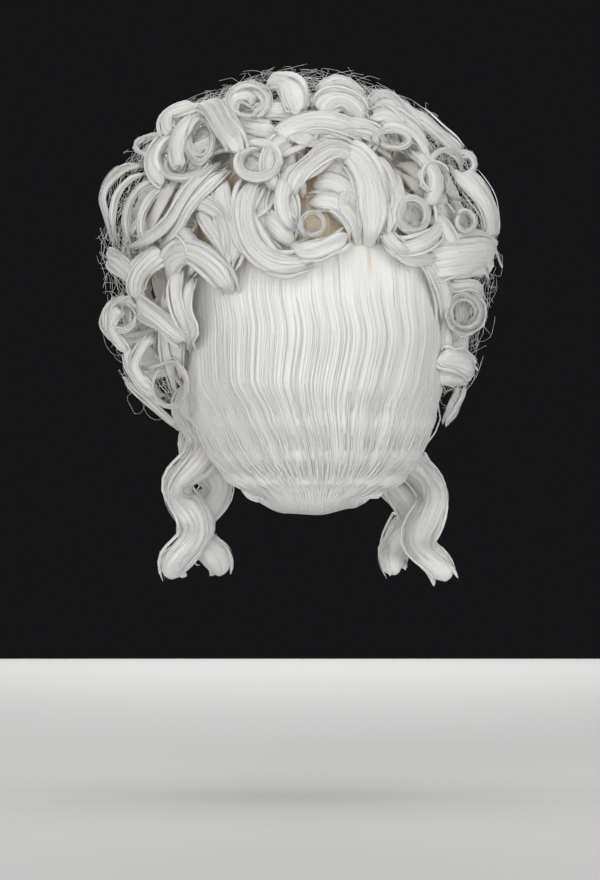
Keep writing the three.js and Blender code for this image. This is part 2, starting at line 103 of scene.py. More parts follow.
# Curls that pass the eye as an arched lock: width, how far the lock stands off the root hair
# at its ends and its middle, and the places that it passes as seen from behind, across to the
# wearer's left and up from the crown seat. All are in millimetres.
ARCHED_LOCKS = {
    "curl_top_1": (15, 14, 28, ((82, 66), (72, 62), (63, 47), (54, 31), (48, 14))),
    "curl_top_3": (18, 14, 28, ((34, 74), (24, 80), (13, 76), (7, 62), (5, 46))),
    "curl_top_4": (18, 14, 24, ((-8, 50), (-16, 63), (-28, 66), (-40, 58), (-46, 46))),
    "curl_top_5": (5, 14, 27, (
        (-50, 56), (-51, 66), (-58, 72), (-68, 69), (-77, 58), (-87, 46), (-94, 36))),
    "curl_top_6": (13, 14, 25, ((-72, 58), (-88, 53), (-103, 41), (-115, 31), (-122, 20))),
    "curl_upper_2": (15, 12, 23, ((24, 30), (12, 43), (-11, 48), (-34, 42), (-44, 29))),
    "curl_upper_3": (13, 12, 24, ((14, -14), (8, 2), (-4, 14), (-20, 24), (-34, 20), (-46, 6))),
    "curl_left_2": (4, 10, 22, ((122, 18), (139, 15), (153, 4), (158, -8), (155, -22), (150, -42))),
    "curl_left_3": (13, 10, 22, ((154, -50), (148, -56), (138, -64), (126, -74))),
    "curl_left_7": (14, 10, 22, ((104, -50), (116, -56), (128, -67), (131, -81), (125, -93))),
    "curl_left_8": (14, 10, 24, ((131, -86), (124, -94), (110, -105), (96, -116), (86, -122))),
    "curl_right_2": (18, 12, 26, ((-112, 14), (-127, 4), (-139, -12), (-143, -32), (-134, -42))),
    "curl_right_4": (27, 10, 26, ((-86, -62), (-104, -58), (-124, -54), (-140, -52), (-144, -62))),
    "curl_right_6": (20, 5, 12, ((-98, -142), (-106, -142), (-116, -142), (-125, -143), (-129, -147))),
    "curl_right_7": (14, 9, 22, ((-84, -50), (-94, -60), (-102, -74), (-106, -90), (-104, -108))),
    "curl_middle_2": (15, 12, 22, ((62, 4), (64, -14), (58, -34), (56, -52), (60, -66))),
    "curl_middle_3": (12, 9, 22, ((92, -16), (78, -16), (64, -25), (56, -42), (57, -60))),
    "curl_middle_4": (17, 9, 23, ((106, -72), (102, -58), (88, -53), (72, -62), (61, -76), (56, -86))),
    "curl_middle_6": (16, 12, 24, (
        (34, 4), (43, -6), (47, -22), (44, -40), (34, -55), (20, -62), (4, -62), (-10, -54))),
    "curl_middle_7": (22, 12, 25, ((-20, 20), (-36, 20), (-46, 4), (-50, -16), (-50, -34), (-46, -52))),
    "curl_middle_8": (11, 9, 21, ((-46, 24), (-58, 12), (-65, -8), (-63, -26), (-57, -42))),
}

# Curls that show the eye their ring: width, standing at the ends and the middle, the ring's
# centre and half-sizes across and up, the clock angle where it starts and how far it turns in
# degrees, clockwise as seen from behind, and the places that the lock comes from
RING_LOCKS = {
    "curl_top_2": (6.5, 13, 26, (44.8, 65, 16.5, 15), 150, -430, ((24, 38), (28, 46))),
    "curl_middle_1": (8, 12, 25, (37.7, 16, 18, 15.5), 330, 410, ((66, 28), (57, 34))),
    "curl_upper_1": (4, 12, 24, (81, 36, 11.5, 21), 20, -440, ((60, 62), (68, 62))),
    "curl_left_1": (3.5, 10, 18, (117, 33, 16.5, 8.5), 100, -520, ((86, 22), (94, 27))),
    "curl_left_6": (4.5, 10, 22, (93, 16, 20, 12.5), 290, -250, ((98, 42), (108, 34))),
    "curl_left_4": (5, 9, 18, (141, -99, 12, 13), 60, -400, ((120, -76), (128, -82))),
    "curl_left_5": (3, 8, 17, (105.5, -153, 15, 18), 330, 420, ((134, -124), (133, -132), (127, -140))),
    "curl_upper_4": (5, 12, 24, (-66.5, 34.6, 14, 8.5), 240, 430, ((-44, 20), (-48, 24))),
    "curl_right_1": (3, 11, 22, (-98.2, 5, 11.5, 13), 120, -400, ((-128, -9), (-118, -9))),
    "curl_right_3": (4, 15, 27, (-122, -27.5, 8, 9), 300, 450, ((-102, -10), (-110, -14))),
    "curl_right_5": (3.8, 9, 19, (-121.7, -96.7, 18, 18), 300, 1080, ((-96, -74), (-104, -80))),
    "curl_middle_5": (3.5, 12, 22, (-5.1, -32.7, 9.5, 9.5), 200, 460, ((14, -44), (6, -46))),
    "curl_middle_9": (5.5, 11, 23, (-80.7, -23.4, 13, 14), 60, 520, ((-58, 4), (-68, -3))),
}
RING_WINDS_IN = 0.2

# The share of the root hair's half-width beyond which curls no longer follow its curve
SEEN_ROUND = 0.78

# More locks that lie between the curls, in the same columns
SWEPT_LOCKS = (
    (14, 8, 17, ((60, 50), (48, 45), (30, 41), (16, 43))),
    (12, 6, 14, ((66, 40), (56, 36), (44, 38), (30, 36), (20, 30))),
    (10, 6, 13, ((-2, 38), (-12, 34), (-28, 34), (-44, 28))),
    (16, 7, 17, ((-16, 14), (-30, 6), (-43, -7), (-51, -26), (-56, -44))),
    (16, 6, 15, ((-4, -2), (-19, 0), (-33, -9), (-43, -25), (-48, -46))),
    (15, 5, 12, ((-2, -16), (-16, -14), (-30, -20), (-38, -33), (-40, -52))),
    (16, 5, 13, ((40, -16), (30, -26), (18, -38), (8, -50))),
    (13, 5, 14, ((30, 2), (36, -12), (35, -28), (24, -44))),
    (12, 5, 13, ((22, -2), (14, -14), (12, -30), (16, -46))),
    (4, 8, 15, ((-103, -142), (-106, -132), (-115, -127), (-124, -130), (-127, -139), (-121, -146))),
    (1.6, 8, 12, ((-118, -150), (-116, -160), (-111, -170), (-106, -182))),
    (1.6, 8, 12, ((-124, -152), (-121, -163), (-113, -175), (-109, -184))),
    (12, 12, 24, ((78, 66), (96, 62), (107, 56), (107, 45), (98, 36))),
    (4, 14, 25, ((-48, 60), (-56, 64), (-66, 61), (-75, 50), (-84, 38))),
    (14, 12, 22, ((-44, 50), (-60, 56), (-74, 51), (-88, 39), (-98, 28))),
    (4, 14, 27, ((-2, 62), (-14, 75), (-23, 80), (-32, 79), (-42, 72), (-48, 66))),
    (4, 12, 22, ((-110, 24), (-119, 28), (-127, 25), (-130, 17), (-124, 10), (-115, 11))),
    (4, 12, 23, ((-95, 12), (-98, 23), (-107, 29), (-117, 26), (-121, 15))),
    (4, 10, 22, ((120, 12), (136, 7), (147, -6), (150, -22), (147, -42))),
    (4, 10, 21, ((112, 8), (127, 0), (137, -14), (139, -30), (134, -48))),
    (6, 9, 20, ((104, 2), (117, -6), (125, -20), (125, -38), (116, -52))),
    (4, 8, 14, ((143, -146), (127, -160), (109, -177), (97, -188))),
    (3, 9, 16, ((148, -84), (156, -94), (157, -104), (152, -114), (142, -124))),
    (11, 6, 12, ((95, -66), (99, -90), (100, -115), (97, -148))),
    (9, 6, 11, ((105, -80), (109, -105), (107, -130), (101, -158))),
    (12, 6, 12, ((-100, -70), (-107, -95), (-108, -120), (-104, -150))),
    (9, 10, 26, ((64, 18), (78, 6), (90, -8), (104, -30), (122, -42), (140, -46))),
    (7, 10, 25, ((58, 12), (74, -2), (88, -18), (100, -38), (116, -50))),
    (13, 10, 22, ((-32, -40), (-22, -46), (-8, -52), (4, -52), (14, -46))),
    (8, 10, 24, ((-6, 68), (-16, 80), (-28, 82), (-42, 72), (-50, 56))),
    (7, 10, 23, ((-8, 60), (-20, 71), (-32, 71), (-44, 60), (-50, 46))),
    (11, 10, 25, ((-46, 58), (-58, 66), (-74, 62), (-88, 48), (-92, 32))),
    (8, 10, 23, ((-52, 40), (-66, 46), (-82, 40), (-92, 26), (-94, 10))),
    (12, 10, 24, ((-60, -42), (-72, -50), (-88, -46), (-100, -36), (-108, -20))),
    (9, 10, 23, ((-56, -30), (-64, -44), (-80, -56), (-98, -56), (-112, -44))),
    (11, 10, 23, ((-92, -22), (-104, -30), (-112, -46), (-110, -62), (-100, -72))),
    (9, 9, 22, ((112, -28), (100, -32), (88, -44), (84, -60), (92, -72))),
    (9, 9, 22, ((80, -12), (76, -28), (66, -44), (60, -58), (66, -74))),
    (9, 9, 22, ((96, -62), (100, -78), (97, -96), (90, -112), (92, -122))),
    (8, 9, 20, ((86, -70), (90, -86), (90, -100), (86, -114), (92, -126))),
    (12, 10, 25, ((100, 44), (112, 34), (118, 20), (112, 6), (100, 0))),
    (12, 10, 24, ((36, 60), (44, 70), (56, 68), (60, 56), (52, 42))),
    (11, 9, 22, ((10, 36), (22, 30), (28, 18), (26, 2), (18, -10))),
    (12, 9, 22, ((-4, 44), (-20, 42), (-38, 44), (-54, 40), (-66, 28))),
    (10, 9, 20, ((6, 18), (14, 4), (18, -14), (14, -30), (4, -38))),
    (12, 9, 22, ((-58, 12), (-66, 0), (-68, -16), (-62, -32), (-58, -48))),
    (9, 9, 21, ((-100, -72), (-112, -78), (-124, -76), (-134, -80), (-136, -92))),
    (16, 8, 20, ((-100, -128), (-108, -132), (-118, -134), (-126, -138), (-126, -146))),
    (9, 9, 20, ((138, -92), (148, -98), (151, -110), (144, -122), (134, -132))),
    (8, 9, 20, ((116, -112), (126, -124), (132, -138), (124, -152), (112, -162))),
    (7, 9, 18, ((134, -120), (139, -132), (132, -146), (122, -158), (108, -168))),
    (14, 10, 24, ((78, 58), (90, 50), (98, 36), (98, 20), (90, 8))),
    (12, 10, 23, ((-78, 28), (-90, 20), (-98, 6), (-96, -10), (-86, -22))),
    (10, 9, 22, ((-118, -24), (-128, -36), (-130, -52), (-122, -66), (-110, -74))),
    (15, 8, 19, ((46, 52), (35, 57), (22, 58), (8, 56), (-6, 50))),
)

# The rows of rolls that the head hides from behind: name, the angle that the row lies forward
# of the outline, the clock angle of its last roll, size, width, tilt, and for each roll the end
# of its axis that it winds away from
FRONT_ROWS = (
    ("curl_front", 25, 92, 1.08, 1.6, 14, (-1, -1, 1, -1, 1, -1, -1, -1, 1)),
    ("curl_brow", 53, 66, 1.05, 1.9, 10, (-1, -1, -1, 1)),
    ("curl_temple", 45, 102, 1.0, 1.7, 12, (-1, -1)),
    ("curl_ear", 17, 116, 1.1, 1.9, 12, (-1, 1)),
)

# The ringlets: root angle, share of the way out to the roots' edge, where the foot hangs as
# shares of the head's half-width and front, length, first angle and hand
RINGLETS = (
    ("ringlet_left_1", 94, 0.94, 1.28, 0.24, 1.0, 250, 1),
    ("ringlet_left_2", 118, 0.9, 1.0, 0.42, 1.16, 60, -1),
    ("ringlet_right_1", -94, 0.97, -1.34, 0.24, 1.0, 40, 1),
    ("ringlet_right_2", -118, 0.9, -1.0, 0.4, 1.15, 200, -1),
)
RINGLET_LENGTH = 0.160
RINGLET_PITCH = 0.068
RINGLET_COIL = 0.0105
RINGLET_WIDTH = 0.022
RINGLET_THICKNESS = 0.014
RINGLET_OPENS_IN = 0.5
RINGLET_TOP_RISE = 0.012

# The smooth fall: drop as a share of its height, the angles of its side edges, half-width
# and depth as shares of the widest level's, and thickness as a share of FALL_THICKNESS
FALL_SECTIONS = (
    (0.0, 84, 84, 1.04, 0.96, 0.6),
    (0.14, 86, 86, 1.02, 0.99, 0.85),
    (0.32, 84, 88, 1.0, 1.0, 1.0),
    (0.5, 82, 86, 0.98, 0.96, 1.0),
    (0.66, 76, 82, 0.92, 0.87, 0.95),
    (0.8, 68, 76, 0.84, 0.79, 0.8),
    (0.91, 52, 64, 0.76, 0.72, 0.55),
    (1.0, 30, 44, 0.66, 0.66, 0.3),
)
FALL_TOP = -0.0553
FALL_BOTTOM = -0.240
FALL_LEFT = 0.096
FALL_RIGHT = 0.110
FALL_BACK = 0.120
FALL_THICKNESS = 0.024
FALL_STRANDS = 330
FALL_EDGE = 0.01

# How square the fall is in plan, how far it tucks up under the curls as a share of its
# height, and its ridges: half-waves across it and size
FALL_SQUARE = 2.35
FALL_TUCKS_UP = 0.14
FALL_RIDGES = ((6, 0.00032), (11, 0.0002), (19, 0.00013), (34, 0.0001), (57, 0.00009))

# The roll at the nape, and its sections: angle from the middle of the back, drop as a share
# of the depth of the fall's bottom below the crown, and size
NAPE_STRANDS = 150
ROLL_DISTANCE = 0.0685
ROLL_RADIUS = 0.0118
ROLL_SECTIONS = (
    (46, 0.93, 0.35), (32, 0.97, 0.75), (14, 0.995, 1.0), (-8, 1.0, 1.0), (-30, 0.98, 1.0),
    (-48, 0.94, 0.75), (-60, 0.89, 0.35),
)


# Small helpers for arrays of points

def unit(vectors):
    """Vectors scaled to length one."""
    return vectors / np.maximum(np.linalg.norm(vectors, axis=-1, keepdims=True), 1e-9)


def eased(share):
    """A share from 0 to 1 with a soft start and end: 3 s^2 - 2 s^3."""
    share = np.clip(share, 0.0, 1.0)
    return share * share * (3.0 - 2.0 * share)


def read_table(rows, at, column):
    """The value of one column at places between a table's rows, eased between them."""
    table = np.array(rows, float)
    if table[-1, 0] < table[0, 0]:
        table = table[::-1]
    keys = table[:, 0]
    at = np.clip(at, keys[0], keys[-1])
    low = np.clip(np.searchsorted(keys, at, side="right") - 1, 0, len(keys) - 2)
    share = eased((at - keys[low]) / (keys[low + 1] - keys[low]))
    return table[low, column] * (1 - share) + table[low + 1, column] * share


class Form:
    """A rounded form made of eight quarter-ellipsoids: a centre and a reach on each side."""

    def __init__(self, centre, low, high):
        self.centre = np.array(centre, float)
        self.low = np.array(low, float)
        self.high = np.array(high, float)

    def reach(self, d):
        return np.where(d > 0, self.high, self.low)

    def point(self, d):
        return self.centre + d * self.reach(d)

    def normal(self, d):
        return unit(d / self.reach(d))

    def towards(self, points):
        """The unit direction whose point of the form lies under each given point."""
        offset = points - self.centre
        return unit(offset / self.reach(offset))

    def height(self, points):
        """How far points lie outside the form, measured from its centre."""
        offset = points - self.centre
        share = np.linalg.norm(offset / self.reach(offset), axis=-1)
        return np.linalg.norm(offset, axis=-1) * (1 - 1 / np.maximum(share, 1e-6))

    def at_height(self, points, height):
        """The points moved along the form's normals until they lie at a height above it."""
        d = self.towards(points)
        return self.point(d) + self.normal(d) * np.expand_dims(height, -1)


roots = Form(
    (0, 0, ROOTS_WIDEST),
    (-roots_low[0], -roots_low[1], ROOTS_DOWN),
    (roots_high[0], roots_high[1], roots_high[2] - ROOTS_WIDEST),
)
cap_form = Form(
    HEAD_CENTRE,
    (-cap_low[0], -cap_low[1], HEAD_DOWN),
    (cap_high[0], cap_high[1], cap_high[2] - HEAD_CENTRE[2]),
)


def direction(angle, polar):
    """A unit direction from an angle round the head, in degrees from the middle of the back
    towards the wearer's left, and an angle down from its top in radians."""
    angle, polar = np.broadcast_arrays(np.radians(angle), polar)
    level = np.sin(polar)
    return np.stack([level * np.sin(angle), level * np.cos(angle), np.cos(polar)], axis=-1)


def edge_polar(angle):
    """How far down the root hair its edge runs at an angle, as an angle from its top."""
    z = -ROOTS_DOWN * read_table(ROOTS_EDGE, np.abs(angle), 1) - ROOTS_WIDEST
    return np.arccos(np.clip(z / np.where(z > 0, roots.high[2], roots.low[2]), -1, 1))


# Meshes from arrays

class Skin:
    """Points, four- and three-cornered faces, and their places on the unrolled surface in
    metres, gathered from one or more surfaces."""

    def __init__(self):
        self.points, self.quads, self.tris = [], [], []
        self.quad_uvs, self.tri_uvs, self.deep = [], [], []
        self.count = 0

    def add(self, points, quads, quad_uvs, tris=None, tri_uvs=None, deep=None):
        self.points.append(points.reshape(-1, 3))
        self.quads.append(quads.reshape(-1, 4) + self.count)
        self.quad_uvs.append(quad_uvs.reshape(-1, 4, 2))
        if tris is not None:
            self.tris.append(tris.reshape(-1, 3) + self.count)
            self.tri_uvs.append(tri_uvs.reshape(-1, 3, 2))
        # deep weighs the painted shade among the curls; by default it grows with depth into the hair
        if deep is None:
            deep = painted_shade_depth(points)
        self.deep.append(deep.reshape(-1))
        self.count += points.size // 3

    def build(self, name, material, replaced=()):
        """One object at the origin with all the surfaces in its mesh."""
        points = np.concatenate(self.points)
        quads = np.concatenate(self.quads)
        tris = np.concatenate(self.tris) if self.tris else np.zeros((0, 3), int)
        uvs = [np.concatenate(self.quad_uvs).reshape(-1, 2)]
        if self.tri_uvs:
            uvs.append(np.concatenate(self.tri_uvs).reshape(-1, 2))
        mesh = bpy.data.meshes.new(name)
        mesh.vertices.add(len(points))
        mesh.vertices.foreach_set("co", points.astype(np.float32).ravel())
        corners = np.concatenate([quads.ravel(), tris.ravel()]).astype(np.int32)
        starts = np.concatenate([
            np.arange(len(quads)) * 4,
            len(quads) * 4 + np.arange(len(tris)) * 3,
        ]).astype(np.int32)
        mesh.loops.add(len(corners))
        mesh.loops.foreach_set("vertex_index", corners)
        mesh.polygons.add(len(starts))
        mesh.polygons.foreach_set("loop_start", starts)
        mesh.polygons.foreach_set("use_smooth", np.ones(len(starts), bool))
        unrolled = mesh.uv_layers.new(name="unrolled")
        unrolled.data.foreach_set("uv", np.concatenate(uvs).astype(np.float32).ravel())
        # The depth attribute carries the weight of the painted shade to the material
        depth = mesh.attributes.new("depth", "FLOAT", "POINT")
        depth.data.foreach_set("value", np.concatenate(self.deep).astype(np.float32))
        mesh.update(calc_edges=True)
        mesh.validate()
        mesh.materials.append(material)
        piece = bpy.data.objects.new(name, mesh)
        bpy.context.scene.collection.objects.link(piece)
        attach(piece, "root")
        if replaced:
            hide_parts(*replaced)
        return piece


def painted_shade_depth(points):
    """The weight of painted shade among the curls: 0 for points well out from the root
    hair's form, growing to 1 at its surface.
    """
    return 1.0 - np.clip(roots.height(points) / PAINTED_SHADE_OVER, 0.0, 1.0)


def section_turns(sides):
    """Angles round an oval section, from its edge. A fine section has them closer together
    over its wide faces: the mean of even turns and of even steps across the width."""
    if sides < 8:
        return np.arange(sides) / sides * 2 * math.pi
    share = np.arange(sides // 2) * 2 / sides
    top = 0.5 * math.pi * share + 0.5 * np.arccos(1 - 2 * share)
    return np.concatenate([top, top + math.pi])


def tubes(skin, lines, wide, half_width, half_thick, sides, rng, relief=0.0, crosswise=False,
          deep=None):
    """Closed tubes along many lines at once. lines is (tubes, steps, 3), wide the unit
    direction of each section's long side, and the half-sizes are (tubes, steps). A section
    is an oval: width times cos plus thickness times sin of the angle round it, with relief,
    in metres, added to the thickness. Each end is closed by a fan to one point. The hair
    runs along the tube, or round it where crosswise is set."""
    count, steps = lines.shape[:2]
    along = unit(np.gradient(lines, axis=1))
    thick = unit(np.cross(along, wide))
    wide = np.cross(thick, along)
    turn = section_turns(sides)
    rise = half_thick[..., None] + relief
    ring = (
        lines[:, :, None]
        + wide[:, :, None] * (half_width[..., None] * np.cos(turn))[..., None]
        + thick[:, :, None] * (rise * np.sin(turn))[..., None]
    )
    ends = lines[:, [0, -1]]
    points = np.concatenate([ring.reshape(count, steps * sides, 3), ends], axis=1)
    base = (np.arange(count) * (steps * sides + 2))[:, None, None]
    row = np.arange(steps - 1)[None, :, None] * sides
    here = np.arange(sides)[None, None, :]
    after = (here + 1) % sides
    quads = np.stack(np.broadcast_arrays(
        base + row + here, base + row + after, base + row + sides + after, base + row + sides + here,
    ), axis=-1)
    first = base[:, 0] + steps * sides
    last_row = base[:, 0] + (steps - 1) * sides
    here, after = here[0], after[0]
    tris = np.concatenate([
        np.stack(np.broadcast_arrays(base[:, 0] + after, base[:, 0] + here, first), axis=-1),
        np.stack(np.broadcast_arrays(last_row + here, last_row + after, first + 1), axis=-1),
    ], axis=1)
    lengths = np.linalg.norm(np.diff(lines, axis=1), axis=-1)
    v = np.concatenate([np.zeros((count, 1)), np.cumsum(lengths, axis=1)], axis=1)
    v = v + rng.uniform(0, 5, (count, 1))
    closed = np.append(turn, 2 * math.pi)
    sizes = np.stack([half_width.max(1), half_thick.max(1)])[:, :, None]
    pace = np.hypot(sizes[0] * np.diff(np.cos(closed)), sizes[1] * np.diff(np.sin(closed)))
    u = np.concatenate([np.zeros((count, 1)), np.cumsum(pace, axis=1)], axis=1)
    u = u + rng.uniform(0, 40, (count, 1))
    shape = (count, steps - 1, sides)
    quad_uvs = corners(shape, [
        (u[:, None, :-1], v[:, :-1, None]), (u[:, None, 1:], v[:, :-1, None]),
        (u[:, None, 1:], v[:, 1:, None]), (u[:, None, :-1], v[:, 1:, None]),
    ])
    shape = (count, sides)
    middle = (u[:, :-1] + u[:, 1:]) / 2
    tri_uvs = np.concatenate([
        corners(shape, [(u[:, 1:], v[:, :1]), (u[:, :-1], v[:, :1]), (middle, v[:, :1])]),
        corners(shape, [(u[:, :-1], v[:, -1:]), (u[:, 1:], v[:, -1:]), (middle, v[:, -1:])]),
    ], axis=1)
    if crosswise:
        quad_uvs, tri_uvs = quad_uvs[..., ::-1], tri_uvs[..., ::-1]
    skin.add(points, quads, quad_uvs, tris, tri_uvs, deep=deep)


def corners(shape, pairs):
    """Places on the unrolled surface for each corner of many faces."""
    return np.stack([
        np.stack([np.broadcast_to(a, shape), np.broadcast_to(b, shape)], -1) for a, b in pairs
    ], axis=-2)


def wrapped_faces(rows, columns, u, v):
    """The faces of a grid whose rows close into rings, and their places on the unrolled
    surface, from the lengths u round it and v along it."""
    here = np.arange(columns)[None]
    after = (here + 1) % columns
    row = np.arange(rows - 1)[:, None] * columns
    quads = np.stack(np.broadcast_arrays(
        row + here, row + columns + here, row + columns + after, row + after,
    ), axis=-1)
    u, v = u[None], v[:, None]
    return quads, corners((rows - 1, columns), [
        (u[:, :-1], v[:-1]), (u[:, :-1], v[1:]), (u[:, 1:], v[1:]), (u[:, 1:], v[:-1]),
    ])


def lengths_along(grid, axis):
    """How far along a grid of points each row or column lies, on average."""
    pace = np.linalg.norm(np.diff(grid, axis=axis), axis=-1).mean(1 - axis)
    return np.concatenate([[0], np.cumsum(pace)])


def closed_dome(skin, rings, top, bottom, deep):
    """A closed surface from rings that run from one pole to the other. The rings' first and
    last columns are the same place."""
    rows, columns = rings.shape[0], rings.shape[1] - 1
    points = np.concatenate([rings[:, :-1].reshape(-1, 3), [top, bottom]])
    u = np.arange(columns + 1) / columns * ROOTS_AROUND
    v = lengths_along(rings, 0)
    quads, quad_uvs = wrapped_faces(rows, columns, u, v)
    here = np.arange(columns)
    after = (here + 1) % columns
    last = (rows - 1) * columns
    pole = rows * columns
    tris, tri_uvs = [], []
    for one, other, tip, level in (
        (here, after, pole, v[0]), (last + after, last + here, pole + 1, v[-1]),
    ):
        tris.append(np.stack(np.broadcast_arrays(one, other, tip), axis=-1))
        flat = np.stack([u[:-1], np.full(columns, level)], -1)
        tri_uvs.append(np.stack([flat] * 3, 1))
    skin.add(points, quads, quad_uvs, np.concatenate(tris), np.concatenate(tri_uvs), deep=deep)


def closed_sheet(skin, outer, inner, deep):
    """A closed body from an outer and an inner grid, joined round their four sides."""
    rows, columns = outer.shape[:2]
    rim = np.concatenate([outer, inner[:, ::-1]], axis=1)
    around = rim.shape[1]
    u = lengths_along(rim, 1)
    u = np.append(u, u[-1] + FALL_EDGE)
    quads, quad_uvs = wrapped_faces(rows, around, u, lengths_along(outer, 0))
    column = np.arange(columns - 1)
    across = around - 1 - column
    top = np.stack([column, column + 1, across - 1, across], -1)
    ends = np.concatenate([top, top[:, ::-1] + (rows - 1) * around])
    skin.add(rim, np.concatenate([quads.reshape(-1, 4), ends]),
             np.concatenate([quad_uvs.reshape(-1, 4, 2), np.zeros((len(ends), 4, 2))]), deep=deep)


def along_line(line, shares):
    """Points of a line, or of values along it, at shares of its steps: straight blends
    between its neighbours. shares may be (tubes, steps)."""
    place = np.clip(shares, 0, 1) * (len(line) - 1)
    low = np.clip(place.astype(int), 0, len(line) - 2)
    part = (place - low)[..., None]
    return line[low] * (1 - part) + line[low + 1] * part


def wander(rng, count, shares, size, cycles):
    """Slow side drift for each of many strands: two sines with seeded phases."""
    phase = rng.uniform(0, 2 * math.pi, (2, count, 1))
    pace = rng.uniform(0.6, 1.4, (2, count, 1)) * cycles
    wave = np.sin(2 * math.pi * pace[0] * shares + phase[0])
    wave = wave + 0.6 * np.sin(4 * math.pi * pace[1] * shares + phase[1])
    return size * wave


def smooth_line(points, steps):
    """A smooth line through a few points: cubics whose slope at each point is half the step
    between its neighbours."""
    points = np.array(points, float)
    padded = np.concatenate([2 * points[:1] - points[1:2], points, 2 * points[-1:] - points[-2:-1]])
    place = np.linspace(0, len(points) - 1, steps)
    low = np.minimum(place.astype(int), len(points) - 2)
    t = (place - low)[:, None]
    a, b, c, d = (padded[low + k] for k in range(4))
    bend = (2 * a - 5 * b + 4 * c - d) * t ** 2 + (3 * b - a - 3 * c + d) * t ** 3
    return 0.5 * (2 * b + (c - a) * t + bend)


def grooves(rng, spots, shares, rates, size):
    """Soft grooves along a lock: round crests and narrow valleys, as the size of a sine, for
    several rates across its width, each finer one shallower and drifting slowly along it.
    spots runs across from -1 to 1, shares along from 0 to 1."""
    total = 0.0
    for rate in rates:
        drift = 0.16 * np.sin(2 * math.pi * (shares * rng.uniform(0.4, 1.1) + rng.uniform(0, 1)))
        wave = np.sin(0.5 * math.pi * rate * (spots + drift) + rng.uniform(0, 6.3))
        total = total + (np.sqrt(wave * wave + 0.01) - 0.5) * (rates[0] / rate) ** 0.6
    return size * total


def lock(skin, rng, line, wide, width, half_thick=LOCK_HALF_THICKNESS, wisps=2, loose=12, tip=0.25,
         root=0.5, opens=0.2, closes=0.35, ragged=0.25, steps=56, sides=24, relief=0.0007,
         cycles=1.2, rates=(2.6, 4.7, 7.9), twist=0.22, strand_steps=30):
    """One lock of hair: a satin body, narrower at its root and tip, with soft grooves along
    it; a few wisps that part from its edges; and loose fine strands over it. line and wide
    are (steps, 3). Each part's place is the line, plus its share of the width along wide,
    plus a lift across the lock. wide turns slowly by up to twist, in radians."""
    along = unit(np.gradient(line, axis=0))
    across = unit(np.cross(along, wide))
    swing = np.linspace(0, 1, len(line)) * rng.uniform(0.5, 1.6) + rng.uniform(0, 1)
    swing = (twist * np.sin(2 * math.pi * swing))[:, None]
    wide = unit(wide * np.cos(swing) + across * np.sin(swing))
    across = unit(np.cross(along, wide))

    def narrowing(own):
        return (root + (1 - root) * eased(own / opens)) * (tip + (1 - tip) * eased((1 - own) / closes))

    def rounded(own):
        return np.sqrt(np.clip(np.minimum(own, 1 - own) / 0.03, 0.05, 1))

    shares = np.linspace(0, 1, steps)[None]
    profile = narrowing(shares) * (1 + wander(rng, 1, shares, 0.05, cycles))
    end = rounded(shares)
    spots = np.cos(section_turns(sides))
    bumps = grooves(rng, spots, shares[..., None], rates, relief) * end[..., None]
    tubes(skin, along_line(line, shares), along_line(wide, shares), width / 2 * profile * end,
          half_thick * (0.45 + 0.55 * profile) * end, sides, rng, relief=bumps)

    def lay(count, spots, lift, size, start, stop, loops, own_steps):
        shares = start[:, None] + (stop - start)[:, None] * np.linspace(0, 1, own_steps)
        side = along_line(wide, shares)
        up = along_line(across, shares)
        profile = narrowing(shares)
        aside = spots[:, None] * width / 2 * profile + wander(rng, count, shares, size, loops)
        lifted = lift[:, None] * (0.5 + 0.5 * profile) + wander(rng, count, shares, size * 0.5, loops)
        return along_line(line, shares) + side * aside[..., None] + up * lifted[..., None], side

    if wisps:
        spots = rng.choice((-1, 1), wisps) * rng.uniform(0.7, 1.2, wisps)
        lift = rng.normal(0, 0.9, wisps) * half_thick
        start = rng.uniform(0, 0.25, wisps)
        stop = 1 - rng.uniform(0, ragged, wisps)
        lines, side = lay(wisps, spots, lift, 0.06 * width, start, stop, cycles, strand_steps)
        own = np.linspace(0, 1, strand_steps)[None]
        half_width = rng.uniform(0.0004, 0.0014, wisps)[:, None] * narrowing(own) * rounded(own)
        tubes(skin, lines, side, half_width, half_width * 0.6, 5, rng)
    if loose:
        spots = rng.uniform(-1.1, 1.1, loose)
        on_top = half_thick * np.sqrt(np.clip(1 - spots ** 2, 0, 1)) + 0.0003
        lift = rng.choice((-1, 1, 1), loose) * (on_top + rng.exponential(0.0006, loose))
        start = rng.uniform(0, 0.4, loose)
        stop = 1 - rng.uniform(0, 0.35, loose)
        lines, side = lay(loose, spots, lift, 0.035 * width, start, stop, cycles * 1.2, strand_steps)
        size = np.full((loose, strand_steps), STRAND_RADIUS)
        size[:, -1] *= 0.3
        tubes(skin, lines, side, size, size, 3, rng)


def seen_at(places, height):
    """Places seen from behind, put on the root hair raised by a height. Each keeps its place
    across and up. Its depth is reach times sqrt(1 - r^2), where r is its distance from the
    middle as a share of the raised form's reaches. Past r = SEEN_ROUND the depth goes on
    falling in a straight line, so that curls at the outline aren't drawn out forwards."""
    offset = np.stack([places[:, 0], np.ones(len(places)), places[:, 1] - roots.centre[2]], -1)
    reach = roots.reach(offset) + height[:, None]
    share = offset / reach
    out = np.hypot(share[:, 0], share[:, 2])
    inner = np.minimum(out, SEEN_ROUND)
    level = np.sqrt(1 - inner ** 2)
    deep = np.maximum(level - (out - inner) * inner / level, 0)
    return np.stack([places[:, 0], reach[:, 1] * deep, places[:, 1]], -1)


